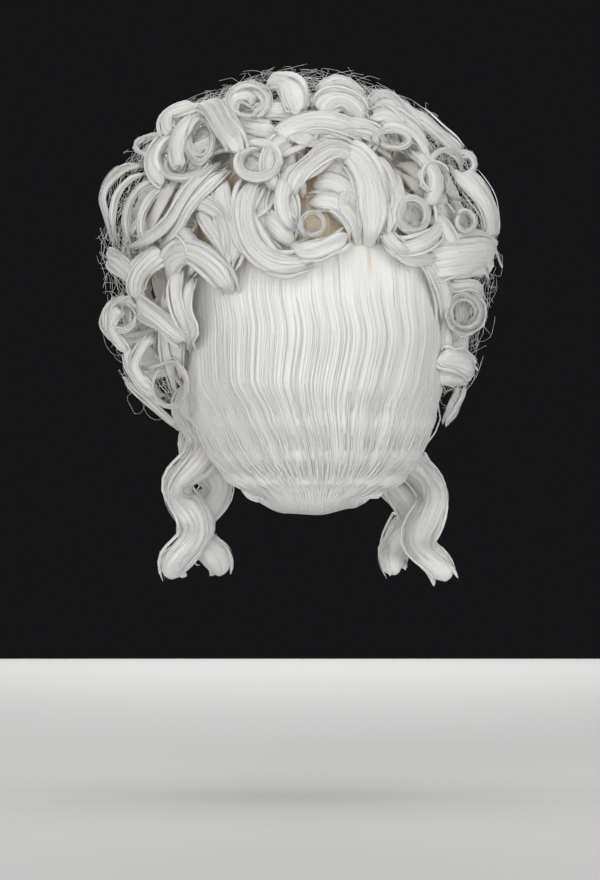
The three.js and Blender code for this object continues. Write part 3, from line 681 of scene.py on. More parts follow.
def arched_line(low, high, places, centre=None, cone=0.0, steps=60):
    """The line of a lock that arches over the root hair, and its wide side. Its height runs
    from low at the ends to high in the middle by a sine, and sinks further at the very ends,
    so that they tuck in. The wide side lies across the lock, along the root hair turned a
    little towards the back. Round a centre it leans in like a funnel by the cone's angle.
    Lengths in millimetres."""
    share = np.linspace(0, 1, steps)
    height = (low + (high - low) * np.sin(math.pi * share) ** 0.7) / 1000
    height = height * (1 - 0.85 * eased((share - 0.82) / 0.18))
    height = height * (1 - 0.6 * eased((0.12 - share) / 0.12))
    line = seen_at(smooth_line(np.array(places) / 1000, steps), height)
    facing = unit(roots.normal(roots.towards(line)) + [0, 0.7, 0])
    if centre is not None:
        out = line - seen_at(np.array([centre]) / 1000, height[:1])
        out = unit(out - facing * (out * facing).sum(1, keepdims=True))
        facing = facing * math.cos(math.radians(cone)) - out * math.sin(math.radians(cone))
    wide = unit(np.cross(unit(np.gradient(line, axis=0)), facing))
    return line, wide


def ring_places(ring, start, sweep, lead, scale=1.0):
    """The places that a ring's lock passes: those it comes from, and then round the centre
    at half-sizes that shrink by a share in each turn. The clock angle runs from the top."""
    across, up, half_across, half_up = ring
    share = np.linspace(0, 1, int(abs(sweep) / 24) + 2)
    clock = np.radians(start + sweep * share)
    size = scale * (1 - RING_WINDS_IN * share * abs(sweep) / 360)
    round_it = np.stack([
        across - half_across * size * np.sin(clock), up + half_up * size * np.cos(clock),
    ], -1)
    return np.concatenate([np.array(lead, float).reshape(-1, 2), round_it])


def ring_lock(skin, rng, width, low, high, ring, start, sweep, lead):
    """A ring: its band, thin locks that stray from it, and fine strands inside. A wide one
    has a second band further in and deeper, and hair that lies across behind it."""
    centre = np.array(ring[:2])
    places = ring_places(ring, start, sweep, lead)
    line, wide = arched_line(low, high, places, centre, 12, steps=90)
    lock(skin, rng, line, wide, 0.8 * width / 1000, half_thick=0.0008 + 0.09 * width / 1000, wisps=2,
         loose=15, root=0.6, tip=0.3, ragged=0.15, steps=58, sides=14, relief=0.0005, rates=(2.6, 4.4),
         cycles=2.0, strand_steps=24)
    for scale, share in ((1.1, 0.8), (0.97, 0.9), (1.05, 0.6)):
        places = ring_places(ring, start + rng.uniform(-50, 30), sweep * share, (), scale)
        places = places + rng.normal(0, 0.9, places.shape)
        line, wide = arched_line(low, high + rng.uniform(-1.5, 1.5), places, centre, 20)
        lock(skin, rng, line, wide, rng.uniform(0.001, 0.0024), half_thick=0.0007, wisps=0, loose=3,
             steps=26, sides=6, relief=0.0, rates=(1.0,), cycles=2.0, strand_steps=16)
    if width > 3.6:
        places = ring_places(ring, start + 60, math.copysign(400, sweep), (), 0.78)
        line, wide = arched_line(low, high - 5, places, centre, 52)
        lock(skin, rng, line, wide, (0.7 * width + 1.5) / 1000, half_thick=0.0009, wisps=0, loose=7,
             steps=36, sides=10, relief=0.0004, rates=(2.3, 4.1), cycles=2.0, strand_steps=18)
        half = 0.8 * np.array(ring[2:])
        way = rng.uniform(-0.6, 0.6)
        axis = np.array([math.sin(way), math.cos(way)])
        span = np.linspace(-1, 1, 5)[:, None]
        bow = np.array([axis[1], -axis[0]]) * (1 - span ** 2) * rng.uniform(-0.25, 0.25)
        places = centre + (axis * span + bow) * half
        line, wide = arched_line(low - 7, low - 2, places, steps=24)
        lock(skin, rng, line, wide, 1.5 * half.min() / 1000, half_thick=0.0012, wisps=0, loose=9,
             root=0.8, tip=0.7, steps=12, sides=14, relief=0.0009, rates=(4.1, 7.3), strand_steps=9)
    middle = seen_at(centre[None] / 1000, np.array([(low + 5) / 1000]))[0]
    facing = roots.normal(roots.towards(middle))
    strands_inside(skin, rng, middle, facing, ring[3] / 1000, 0.006, 9)


def roll_line(rng, foot, axis, end, radius, width, turns, lead, aside=0.0):
    """The line of a front roll's lock and the direction of its wide side. The lock comes along
    the root hair for the lead's length, arching a little off it, and then winds round the
    roll's axis: centre plus a shrinking radius turning from the foot, drawn along the axis
    like a snail's shell, away from its end 1 or -1. The wide side turns from lying on the
    root hair to lying along the axis. aside is a shift along the axis."""
    d = roots.towards(foot)
    normal = roots.normal(d)
    centre = roots.point(d) + normal * (radius + ROLL_CURL_MARGIN) * ROLL_CURL_STAND
    sideways = np.cross(axis, -normal)
    outward = axis * end
    t = np.linspace(-1, 1, 128)
    turned = np.clip(t, 0, 1)[:, None] * turns
    alpha = 2 * math.pi * turned
    shrunk = radius - ROLL_CURL_WINDS_IN * (radius / ROLL_CURL_RADIUS) * turned
    oval = rng.uniform(0.88, 1.12)
    radial = -normal * np.cos(alpha) * oval + sideways * np.sin(alpha) / oval
    sway = rng.normal(0, 0.0011, 3) * np.sin(alpha * 0.7 + rng.uniform(0, 6))
    line = centre + outward * aside + radial * shrunk - outward * 0.22 * width * turned + sway
    led = np.clip(-t, 0, 1)
    start = line[64]
    bend = unit(np.cross(sideways, roots.normal(roots.towards(start))))
    straight = (
        start - sideways * (led * lead)[:, None]
        + bend * (lead * rng.uniform(-0.3, 0.4) * led ** 2)[:, None]
    )
    height = (
        roots.height(start) * (1 - eased(led)) + LEAD_ARCH * np.sin(math.pi * led)
        - LEAD_DEPTH * eased(led)
    )
    hugging = roots.at_height(straight, height)
    blend = eased(led * 3)[:, None]
    line = np.where(led[:, None] > 0, straight * (1 - blend) + hugging * blend, line)
    along = unit(np.gradient(line, axis=0))
    flat = unit(np.cross(along, roots.normal(roots.towards(line))))
    flat = flat * np.where((flat @ outward) < 0, -1.0, 1.0)[:, None]
    lying = eased(led * 1.6)[:, None]
    wide = unit(outward * (1 - lying) + flat * lying)
    return line, wide, centre


def front_roll(name, rng, d, axis, end, size, width_share):
    """One roll: a lock, two narrower locks that wind beside it at sizes of their own, and
    fine strands across its middle."""
    skin = Skin()
    radius, width = ROLL_CURL_RADIUS * size, ROLL_CURL_WIDTH * width_share
    foot = roots.point(unit(d))
    lead = LEAD_LENGTH * size * rng.uniform(0.8, 1.25)
    line, wide, centre = roll_line(rng, foot, axis, end, radius, width, ROLL_CURL_TURNS, lead)
    lock(skin, rng, line, wide, width * 0.74, wisps=2, loose=9, ragged=0.3, steps=38, sides=16,
         cycles=1.8, strand_steps=20)
    for side in (-1, 1):
        own_radius = radius * rng.uniform(0.84, 0.98)
        line, wide, _ = roll_line(
            rng, foot, axis, end, own_radius, width, ROLL_CURL_TURNS * rng.uniform(0.75, 1.1),
            lead * rng.uniform(0.7, 1.3), aside=side * 0.36 * width,
        )
        lock(skin, rng, line, wide, width * rng.uniform(0.24, 0.4), half_thick=0.0016, wisps=1, loose=4,
             ragged=0.3, steps=30, sides=8, cycles=1.8, rates=(2.1,), strand_steps=18)
    strands_inside(skin, rng, centre, axis, radius, width, 6)
    skin.build(name, CURL_HAIR, replaced=(name,))


def arched_lock(skin, rng, width, low, high, places, loose=34, fine=1.0):
    """A lock that arches over the root hair: a full body, a narrower lock along each edge,
    and loose strands. fine scales how many steps each has."""
    line, wide = arched_line(low, high, places)
    sides = 22 if fine == 1 else 14
    lock(skin, rng, line, wide, width / 1000, half_thick=0.09 * width / 1000 + 0.0009, wisps=int(4 * fine),
         loose=loose, root=0.4, tip=0.4, closes=0.35, ragged=0.2, steps=int(38 * fine), sides=sides,
         cycles=1.0, relief=0.00055, rates=(3.1, 5.3, 8.9), strand_steps=int(16 * fine))
    for side in (-1, 1):
        moved = np.array(places) + rng.normal(0, 1.2, (len(places), 2))
        line, wide = arched_line(low, high - rng.uniform(0.5, 3), moved)
        line = line + wide * side * width / 1000 * rng.uniform(0.4, 0.6)
        lock(skin, rng, line, wide, width / 1000 * 0.3, half_thick=0.0011, wisps=0, loose=int(6 * fine),
             root=0.4, tip=0.15, steps=int(28 * fine), sides=8, relief=0.0004, rates=(2.1,),
             strand_steps=int(15 * fine))


def strands_inside(skin, rng, centre, axis, radius, width, count):
    """Fine strands that arc through the middle of a curl: parts of circles of many sizes,
    tilted a little from the curl's own plane."""
    s = np.linspace(0, 1, 14)
    tilt = axis + rng.normal(0, 0.28, (count, 3))
    tilt = unit(tilt)
    first = unit(np.cross(tilt, rng.normal(0, 1, (count, 3))))
    second = np.cross(tilt, first)
    reach = radius * rng.uniform(0.3, 0.95, count)
    swing = rng.uniform(0.35, 0.95, count) * 2 * math.pi
    angle = rng.uniform(0, 2 * math.pi, count)[:, None] + swing[:, None] * s
    shift = axis * (rng.uniform(-0.5, 0.5, count) * width)[:, None]
    shift = shift + rng.normal(0, 0.12 * radius, (count, 3))
    lines = (
        centre + shift[:, None]
        + first[:, None] * (reach[:, None] * np.cos(angle))[..., None]
        + second[:, None] * (reach[:, None] * np.sin(angle))[..., None]
    )
    size = np.full((count, len(s)), STRAND_RADIUS)
    size[:, -1] *= 0.3
    tubes(skin, lines, np.broadcast_to(tilt[:, None], lines.shape), size, size, 3, rng)


# Materials

def feed(node, feeds):
    """Sets a node's inputs, each to a value or to the output of another node."""
    for key, value in feeds.items():
        if isinstance(value, bpy.types.NodeSocket):
            node.id_data.links.new(value, node.inputs[key])
        else:
            node.inputs[key].default_value = value
    return node


def node_of(tree, kind, feeds=None, **settings):
    """A shader node with its plain settings and its inputs."""
    made = tree.nodes.new(kind)
    for key, value in settings.items():
        setattr(made, key, value)
    return feed(made, feeds or {})


def fibre_group():
    """The fine lines of hair: noise on the unrolled surface, drawn out along the lock. Fine
    gives single fibres, Clumps the broader streaks that they fall into."""
    group = bpy.data.node_groups.new("hair_fibres", "ShaderNodeTree")
    for name in ("Fibres per metre", "Clumps per metre", "Breaks per metre"):
        group.interface.new_socket(name, in_out="INPUT", socket_type="NodeSocketFloat")
    for name in ("Fine", "Clumps"):
        group.interface.new_socket(name, in_out="OUTPUT", socket_type="NodeSocketFloat")
    rates = node_of(group, "NodeGroupInput").outputs
    unrolled = node_of(group, "ShaderNodeUVMap", uv_map="unrolled")
    parts = node_of(group, "ShaderNodeSeparateXYZ", {0: unrolled.outputs["UV"]}).outputs
    down = node_of(group, "ShaderNodeMath", {0: parts["Y"], 1: rates["Breaks per metre"]},
                   operation="MULTIPLY").outputs[0]
    streaks = {}
    for name, rate in (("Fine", "Fibres per metre"), ("Clumps", "Clumps per metre")):
        across = node_of(group, "ShaderNodeMath", {0: parts["X"], 1: rates[rate]},
                         operation="MULTIPLY").outputs[0]
        place = node_of(group, "ShaderNodeCombineXYZ", {"X": across, "Y": down}).outputs[0]
        noise = node_of(group, "ShaderNodeTexNoise", {"Vector": place, "Scale": 1.0, "Detail": 2.0})
        spread = node_of(group, "ShaderNodeMapRange", {
            "Value": noise.outputs["Fac"], "From Min": 0.3, "From Max": 0.7,
        })
        streaks[name] = spread.outputs["Result"]
    node_of(group, "NodeGroupOutput", streaks)
    return group


def hair_material(name, light, shade, deep, roughness, bump, shade_power=1.0,
                  per_metre=2200, clumps=620, breaks=9, clump_share=0.5):
    """Satin hair: pale along each fibre's crest and a little darker between, as painted shade in
    the valleys, and warmer and darker deep down among the roots, as painted shade partly
    standing for the tan cap seen through the hair, with fine ridges along the lock."""
    material = bpy.data.materials.new(name)
    material.use_nodes = True
    tree = material.node_tree
    tree.nodes.clear()
    lines = node_of(tree, "ShaderNodeGroup", {
        "Fibres per metre": per_metre, "Clumps per metre": clumps, "Breaks per metre": breaks,
    }, node_tree=FIBRES).outputs
    both = node_of(tree, "ShaderNodeMix", {0: clump_share, 2: lines["Fine"], 3: lines["Clumps"]},
                   data_type="FLOAT").outputs[0]
    # Fibre streaks: the shade colour is painted shade in the valleys between the fibres' crests, where the
    # bump sinks
    tint = node_of(tree, "ShaderNodeMix", {0: both, 6: (*shade, 1), 7: (*light, 1)},
                   data_type="RGBA").outputs[2]
    # Painted shade: the colour is multiplied towards the deep colour by the depth attribute, partly the
    # tan cap seen through the hair
    sunk = node_of(tree, "ShaderNodeAttribute", attribute_name="depth")
    power = node_of(tree, "ShaderNodeMath", {0: sunk.outputs["Fac"], 1: shade_power},
                    operation="POWER").outputs[0]
    painted_shade_colour = node_of(tree, "ShaderNodeMix", {0: power, 6: tint, 7: (*deep, 1)},
                   data_type="RGBA", blend_type="MULTIPLY").outputs[2]
    ridges = node_of(tree, "ShaderNodeBump", {"Height": both, "Strength": bump, "Distance": 0.0006})
    shader = node_of(tree, "ShaderNodeBsdfPrincipled", {
        "Base Color": painted_shade_colour, "Normal": ridges.outputs["Normal"], "Roughness": roughness,
        "Specular IOR Level": 0.45, "Sheen Weight": 0.25, "Sheen Roughness": 0.4,
        "Subsurface Weight": 0.35, "Subsurface Radius": (1.0, 0.9, 0.75), "Subsurface Scale": 0.004,
    })
    node_of(tree, "ShaderNodeOutputMaterial", {"Surface": shader.outputs[0]})
    return material


def net_material():
    """The cap's net: a fine tan mesh with rows of stitching where the hair is sewn on."""
    material = bpy.data.materials.new("cap_net")
    material.use_nodes = True
    tree = material.node_tree
    place = node_of(tree, "ShaderNodeTexCoord").outputs["Object"]
    cells = node_of(tree, "ShaderNodeTexVoronoi", {"Vector": place, "Scale": 520.0},
                    feature="DISTANCE_TO_EDGE")
    threads = node_of(tree, "ShaderNodeMapRange", {
        "Value": cells.outputs["Distance"], "From Min": 0.06, "From Max": 0.22,
    }).outputs["Result"]
    rows = node_of(tree, "ShaderNodeTexWave", {"Vector": place, "Scale": 42.0, "Distortion": 0.6},
                   bands_direction="Z")
    sewn = node_of(tree, "ShaderNodeMapRange", {
        "Value": rows.outputs["Fac"], "From Min": 0.8, "From Max": 0.95,
    }).outputs["Result"]
    net = node_of(tree, "ShaderNodeMix", {
        0: threads, 6: (0.78, 0.56, 0.36, 1), 7: (0.60, 0.40, 0.24, 1),
    }, data_type="RGBA").outputs[2]
    wefts = node_of(tree, "ShaderNodeMix", {0: sewn, 6: net, 7: (0.84, 0.80, 0.72, 1)},
                    data_type="RGBA").outputs[2]
    relief = node_of(tree, "ShaderNodeBump", {"Height": threads, "Strength": 0.5, "Distance": 0.0008})
    feed(tree.nodes["Principled BSDF"], {
        "Base Color": wefts, "Normal": relief.outputs["Normal"], "Roughness": 0.75, "Sheen Weight": 0.3,
    })
    return material


FIBRES = fibre_group()
# Each hair: its light colour on the fibres' crests, its shade colour painted as shade in the valleys
# between them, and its deep colour multiplied in as painted shade among the roots, partly the tan cap
WHITE = (0.91, 0.91, 0.90)
CREAM_SHADE = (0.63, 0.62, 0.575)
CURL_HAIR = hair_material("curl_hair", WHITE, CREAM_SHADE, (0.94, 0.88, 0.76), 0.36, 0.55,
                          shade_power=2.5, per_metre=1500, clumps=500, breaks=6, clump_share=0.6)
BED_HAIR = hair_material("bed_hair", (0.90, 0.895, 0.88), (0.66, 0.64, 0.58), (0.93, 0.85, 0.71),
                         0.42, 0.6, shade_power=2.0)
SMOOTH_HAIR = hair_material("smooth_hair", WHITE, (0.78, 0.775, 0.73), (0.76, 0.63, 0.48), 0.36, 0.22,
                            breaks=5, clump_share=0.6)
RINGLET_HAIR = hair_material("ringlet_hair", WHITE, (0.70, 0.69, 0.645), (0.94, 0.88, 0.76), 0.36, 0.5,
                             shade_power=2.5)
ROOT_HAIR = hair_material("root_hair_matted", (0.90, 0.89, 0.86), (0.60, 0.57, 0.51),
                          (0.95, 0.80, 0.60), 0.5, 0.9, per_metre=1800, clumps=560, clump_share=0.55)
FINE_STRANDS = hair_material("fine_strands", (0.92, 0.92, 0.91), (0.86, 0.86, 0.84),
                             (0.84, 0.80, 0.72), 0.45, 0.0, per_metre=1500, clumps=330)
CAP_NET = net_material()


# The pieces

def back_curls():
    """The curls seen from behind, each an arched lock or a ring."""
    for make, rows, seed in ((arched_lock, ARCHED_LOCKS, SEED), (ring_lock, RING_LOCKS, SEED + 50)):
        for index, (name, row) in enumerate(rows.items()):
            skin = Skin()
            make(skin, np.random.default_rng(seed + index), *row)
            skin.build(name, CURL_HAIR, replaced=(name,))


def front_rolls():
    """The rolls over the forehead, temples and ears. Each axis lies level along the root hair,
    tilted up and down by turns."""
    for row, (name, out, sweep, size, width, tilt, ends) in enumerate(FRONT_ROWS):
        for k, end in enumerate(ends):
            rng = np.random.default_rng(SEED + 100 + 20 * row + k)
            clock = math.radians(sweep * (2 * k / (len(ends) - 1) - 1))
            polar = math.radians(90 + out)
            d = np.array([
                math.sin(polar) * math.sin(clock), math.cos(polar), math.sin(polar) * math.cos(clock),
            ])
            normal = roots.normal(d)
            level = np.array([math.cos(clock), 0, -math.sin(clock)])
            level = unit(level - normal * (level @ normal))
            turn = math.radians(tilt if k % 2 == 0 else -tilt)
            axis = level * math.cos(turn) + np.cross(normal, level) * math.sin(turn)
            front_roll(f"{name}_{k + 1}", rng, d, axis, end, size, width)


def root_hair():
    """The combed-up hair under the curls: a closed shell from the crown down to its edge,
    in along the edge to the cap and up inside. Its outside is lumpy by slow sines."""
    columns, rows_out, rows_edge, rows_in = 120, 36, 6, 8
    angle = np.arange(columns + 1) / columns * 360 - 180
    edge = edge_polar(angle)
    share = (np.arange(1, rows_out + 1) / rows_out)[:, None]
    d = direction(angle[None], share * edge[None])
    lump = 0.0022 * (
        np.sin(np.radians(angle) * 23 + 9 * share) * np.sin(share * 31 + np.radians(angle) * 5)
        + 0.6 * np.sin(np.radians(angle) * 61 + share * 14)
    )
    lump = lump * np.clip((1 - share) * 6, 0, 1) - 0.002
    behind = eased((84 - np.abs(angle)) / 14) * eased((-0.044 - roots.point(d)[..., 2]) / 0.018)
    outer = roots.point(d) + roots.normal(d) * (lump - SHELL_SINKS * behind)[..., None]
    foot = outer[-1]
    inner_z = np.minimum(foot[:, 2], cap_form.centre[2] + cap_form.high[2] - 0.004)
    z_share = (inner_z - cap_form.centre[2]) / np.where(
        inner_z > cap_form.centre[2], cap_form.high[2], cap_form.low[2],
    )
    inner_polar = np.arccos(np.clip(z_share, -1, 1))
    clear = Form(cap_form.centre, cap_form.low + CAP_CLEARANCE, cap_form.high + CAP_CLEARANCE)
    inner_foot = clear.point(direction(angle, inner_polar))
    step = (np.arange(1, rows_edge + 1) / (rows_edge + 1))[:, None, None]
    under = foot * (1 - step) + inner_foot * step
    under = under - np.array([0, 0, 0.004]) * np.sin(step * math.pi)
    up = (np.arange(rows_in) / rows_in)[:, None]
    inner = clear.point(direction(angle[None], inner_polar[None] * (1 - up)))
    rings = np.concatenate([outer, under, inner], axis=0)
    skin = Skin()
    # How much painted shade the shell takes, its tan partly the cap seen through: most at the back among
    # the curls, little at the sides by the ringlets
    tan = 0.15 + 0.85 * eased((70 - np.abs(angle)) / 30)
    tan = np.concatenate([np.broadcast_to(tan[:-1], (len(rings), columns)).ravel(), [0.5, 0.5]])
    closed_dome(skin, rings, roots.point(np.array([0, 0, 1.0])) - [0, 0, 0.002],
                clear.point(np.array([0, 0, 1.0])), tan)
    skin.build("root_hair_combed", ROOT_HAIR, replaced=("root_hair",))


def bed_of_locks():
    """The locks that fill the spaces between the curls, and those combed up in front."""
    rng = np.random.default_rng(SEED + 300)
    skin = Skin()
    for d in spread_directions(BED_LOCKS, 0.16):
        bed_lock(skin, rng, d)
    combed_front(skin, rng)
    skin.build("bed_locks", BED_HAIR)
    skin = Skin()
    for row in SWEPT_LOCKS:
        arched_lock(skin, rng, *row, loose=9, fine=0.62)
    skin.build("swept_locks", CURL_HAIR)


def in_curls(d, margin):
    """True for directions where the root hair carries curls, a margin in radians inside its
    edge, growing to 2.4 times that over the fall."""
    angle = np.degrees(np.arctan2(d[:, 0], d[:, 1]))
    polar = np.arccos(np.clip(d[:, 2], -1, 1))
    return polar < edge_polar(angle) - margin * (1 + 1.4 * eased((88 - np.abs(angle)) / 24))


def spread_directions(count, margin):
    """Even directions over the curled part of the root hair: a golden spiral over the
    sphere, kept where the curls are."""
    k = np.arange(count) + 0.5
    polar = np.arccos(1 - 2 * k / count * 0.85)
    turn = 137.508 * k
    d = direction(np.mod(turn, 360) - 180, polar)
    return d[in_curls(d, margin)]


def bed_lock(skin, rng, d):
    """A short lock that bends like a C over the root hair: part of a circle in the tangent
    plane, laid back on the form, rising in its middle by a sine."""
    normal = roots.normal(d)
    first = unit(np.cross(normal, rng.normal(0, 1, 3)))
    second = np.cross(normal, first)
    share = np.linspace(0, 1, 24)
    bend = rng.uniform(0.013, 0.028)
    angle = share * rng.uniform(1.6, 4.2)
    offset = first * np.cos(angle)[:, None] + second * np.sin(angle)[:, None] - first * 0.6
    low = rng.uniform(0.0, 0.008)
    height = low + rng.uniform(0.004, 0.014) * np.sin(math.pi * share)
    line = roots.at_height(roots.point(d) + offset * bend, height)
    flat = unit(np.cross(unit(np.gradient(line, axis=0)), roots.normal(roots.towards(line))))
    wide = unit(flat + normal * rng.uniform(-0.9, 0.9))
    lock(skin, rng, line, wide, rng.uniform(0.010, 0.017), half_thick=0.0014, wisps=0, loose=5,
         root=0.3, tip=0.15, steps=13, sides=10, relief=0.0006, rates=(2.3, 4.1), strand_steps=9)


def combed_front(skin, rng):
    """Locks combed up from the hairline over the forehead and temples, under the curls."""
    for angle in np.linspace(96, 264, COMBED_LOCKS):
        way = (angle + 180) % 360 - 180 + rng.uniform(-1.5, 1.5)
        edge = float(edge_polar(np.array(way)))
        share = np.linspace(0, 1, 20)
        polar = edge * (1.02 - 0.5 * share)
        lean = way + rng.uniform(-7, 7) * share
        d = direction(lean, polar)
        height = -0.001 + 0.006 * np.sin(math.pi * np.clip(share * 1.1, 0, 1)) + rng.uniform(0, 0.002)
        line = roots.point(d) + roots.normal(d) * height[:, None]
        wide = unit(np.cross(np.gradient(line, axis=0), roots.normal(d)))
        lock(skin, rng, line, wide, 0.017, half_thick=0.0022, wisps=0, loose=6, root=0.9,
             steps=16, sides=12, rates=(2.9, 5.1), strand_steps=11)


def fall_skin(angle_share, drop):
    """A place on the outside of the smooth fall: a slightly squared ellipse in plan at each
    level, whose half-widths and depth come from the table. angle_share runs from the left
    edge to the right one."""
    left, right, wide, deep = (read_table(FALL_SECTIONS, drop, k) for k in (1, 2, 3, 4))
    angle = np.radians(left * (1 - angle_share) - right * angle_share)
    across = np.abs(np.sin(angle)) / (np.where(angle > 0, FALL_LEFT, FALL_RIGHT) * wide)
    deep = np.abs(np.cos(angle)) / (FALL_BACK * deep)
    radius = (across ** FALL_SQUARE + deep ** FALL_SQUARE) ** (-1 / FALL_SQUARE)
    z = FALL_TOP + (FALL_BOTTOM - FALL_TOP) * drop
    return angle, radius, z


def fall_points(share, drop, lift):
    """Points of the fall moved out by lift."""
    angle, radius, z = fall_skin(share, drop)
    radius = radius + lift
    return np.stack([radius * np.sin(angle), radius * np.cos(angle), z + 0 * radius], axis=-1)


def fall_surface(share, drop, lift=0.0):
    """The outside of the smooth fall. share runs across, and each strand keeps its share but
    for a slow sideways wave that opens below the middle. The lift outwards is a swell in
    step with that wave, and ridges along the strands, finer ones shallower, whose phases
    drift with the drop, and they fade on the way down."""
    opened = eased((drop - 0.15) / 0.45)
    phase = 2 * math.pi * (drop * 1.55 + 0.22 * np.sin(share * 5.0 + 0.6) - 0.1)
    slid = share + 0.013 * np.sin(phase) * opened * np.sin(share * math.pi) ** 0.5
    swell = 0.0026 * np.cos(phase + 0.6) * opened * np.sin(np.clip(share, 0, 1) * math.pi) ** 0.5
    ridges = 0.0
    for row, (rate, size) in enumerate(FALL_RIDGES):
        drift = (0.25 + 0.08 * row) * np.sin(drop * (1.9 + 0.37 * row) + 1.7 * row + 3.0 * share)
        wave = np.sin(math.pi * rate * share + drift + 2.1 * row)
        ridges = ridges + size * (np.sqrt(wave * wave + 0.02) - 0.5)
    ridges = ridges * (1 - 0.6 * eased((drop - 0.12) / 0.5))
    return fall_points(slid, drop, lift + swell + ridges)


def back_fall():
    """The smooth hair of the back: a closed curved sheet with waves and ridges outside and a
    plain inside, and long loose strands that lie on it."""
    columns, rows = 250, 50
    share = np.linspace(0, 1, columns)[None]
    drop = np.linspace(-FALL_TUCKS_UP, 1, rows)[:, None]
    rng = np.random.default_rng(SEED + 400)
    tucked = -0.014 * eased(-drop / FALL_TUCKS_UP)
    outer = fall_surface(share + 0 * drop, drop + 0 * share, tucked)
    thickness = FALL_THICKNESS * read_table(FALL_SECTIONS, drop, 5)
    thickness = thickness * (0.35 + 0.65 * np.sin(share * math.pi))
    inner = fall_points(share + 0 * drop, drop + 0 * share, -np.minimum(thickness, 0.012))
    skin = Skin()
    # Narrow partings near the fall's top, darker and tan: painted shade in the gaps, partly the tan cap
    # seen through them
    partings = np.sin(89 * share + 1.0) * np.sin(161 * share + 2.2 * np.sin(9 * share))
    parting_shade = np.clip(partings, 0, 1) ** 5 * (1 - eased(drop / (0.05 + 0.13 * np.sin(23 * share) ** 2)))
    closed_sheet(skin, outer, inner, np.concatenate([parting_shade, parting_shade], axis=1))
    count, steps = FALL_STRANDS, 22
    own = np.linspace(0, 1, steps)[None]
    start = rng.uniform(0.005, 0.995, (count, 1))
    high, low = rng.uniform(0, 0.35, (count, 1)), rng.uniform(0.6, 1.0, (count, 1))
    drop = high + (low - high) * own
    across = start + 0.003 * np.sin(own * rng.uniform(1, 3, (count, 1)) + rng.uniform(0, 6, (count, 1)))
    lines = fall_surface(across, drop, rng.uniform(0.0, 0.00018, (count, 1)))
    wide = unit(np.cross(np.gradient(lines, axis=1), lines * [1, 1, 0]))
    half = rng.uniform(0.00013, 0.00032, (count, 1)) * np.sin(math.pi * (0.04 + 0.92 * own)) ** 0.4
    tubes(skin, lines, wide, half, half * 0.5, 4, rng, deep=np.zeros((count, steps * 4 + 2)))
    skin.build("back_fall_smooth", SMOOTH_HAIR, replaced=("back_fall",))


def nape_size(angle):
    """The radius of the nape's roll at an angle from the middle of the back."""
    return ROLL_RADIUS * (0.45 + 0.55 * read_table(ROLL_SECTIONS, angle, 2))


def nape_place(angle, turn, grown=0.0):
    """A place on the nape's roll: its middle line lies at a fixed distance from the head's
    upright axis, and turn goes round the section from its back down under it."""
    way = np.radians(angle)
    out = np.stack([np.sin(way), np.cos(way), 0 * way], -1)
    radius = (nape_size(angle) + grown)[..., None]
    middle = out * ROLL_DISTANCE
    middle[..., 2] = FALL_BOTTOM * read_table(ROLL_SECTIONS, angle, 1)
    turn = np.expand_dims(turn, -1)
    return middle + radius * (out * np.cos(turn) - np.array([0, 0, 1.0]) * np.sin(turn))


def nape_roll():
    """The turned-under ends: a smooth roll along the nape with the hair running round it,
    and thin flat strands that leave the fall and turn under the roll."""
    rng = np.random.default_rng(SEED + 500)
    skin = Skin()
    steps, sides = 120, 24
    angle = np.linspace(46, -60, steps)
    line = nape_place(angle, np.zeros(steps), -nape_size(angle))
    spots = np.linspace(-1, 1, steps)[None, :, None]
    turn = section_turns(sides)
    bumps = grooves(rng, spots + 0.03 * np.sin(turn), np.zeros((1, 1, 1)), (17, 29, 47), 0.00018)
    half = nape_size(angle) * np.clip((1 - np.abs(spots[..., 0])) * 12, 0.1, 1)
    up = np.broadcast_to(np.array([0, 0, 1.0]), (1, steps, 3))
    tubes(skin, line[None], up, half, half, sides, rng, relief=bumps, crosswise=True,
          deep=np.zeros((1, steps * sides + 2)))
    left, right = (float(read_table(FALL_SECTIONS, 1.0, column)) for column in (1, 2))
    lines, wides, sizes = [], [], []
    for share in np.linspace(0.01, 0.99, NAPE_STRANDS):
        own = share + rng.uniform(-0.003, 0.003)
        drops = np.linspace(rng.uniform(0.45, 0.9), 0.96, 4)
        over = fall_surface(np.full(4, own), drops, np.array([-0.0004, 0.0002, 0.0003, 0.0006]))
        angle = np.full(5, (left * (1 - own) - right * own) * 0.97)
        under = nape_place(angle, np.radians([18, 60, 105, 150, 200]), 0.0005)
        line = smooth_line(np.concatenate([over, under]), 26)
        way = np.radians(angle[0])
        lines.append(line)
        wides.append(np.broadcast_to(np.array([math.cos(way), -math.sin(way), 0.0]), line.shape))
        sizes.append(rng.uniform(0.0004, 0.0014) * np.sin(math.pi * np.linspace(0.04, 0.8, 26)) ** 0.5)
    sizes = np.array(sizes)
    tubes(skin, np.array(lines), np.array(wides), sizes, 0.00012 + 0.15 * sizes, 4, rng,
          deep=np.zeros((len(lines), 26 * 4 + 2)))
    skin.build("nape_roll_turned", SMOOTH_HAIR, replaced=("nape_roll",))


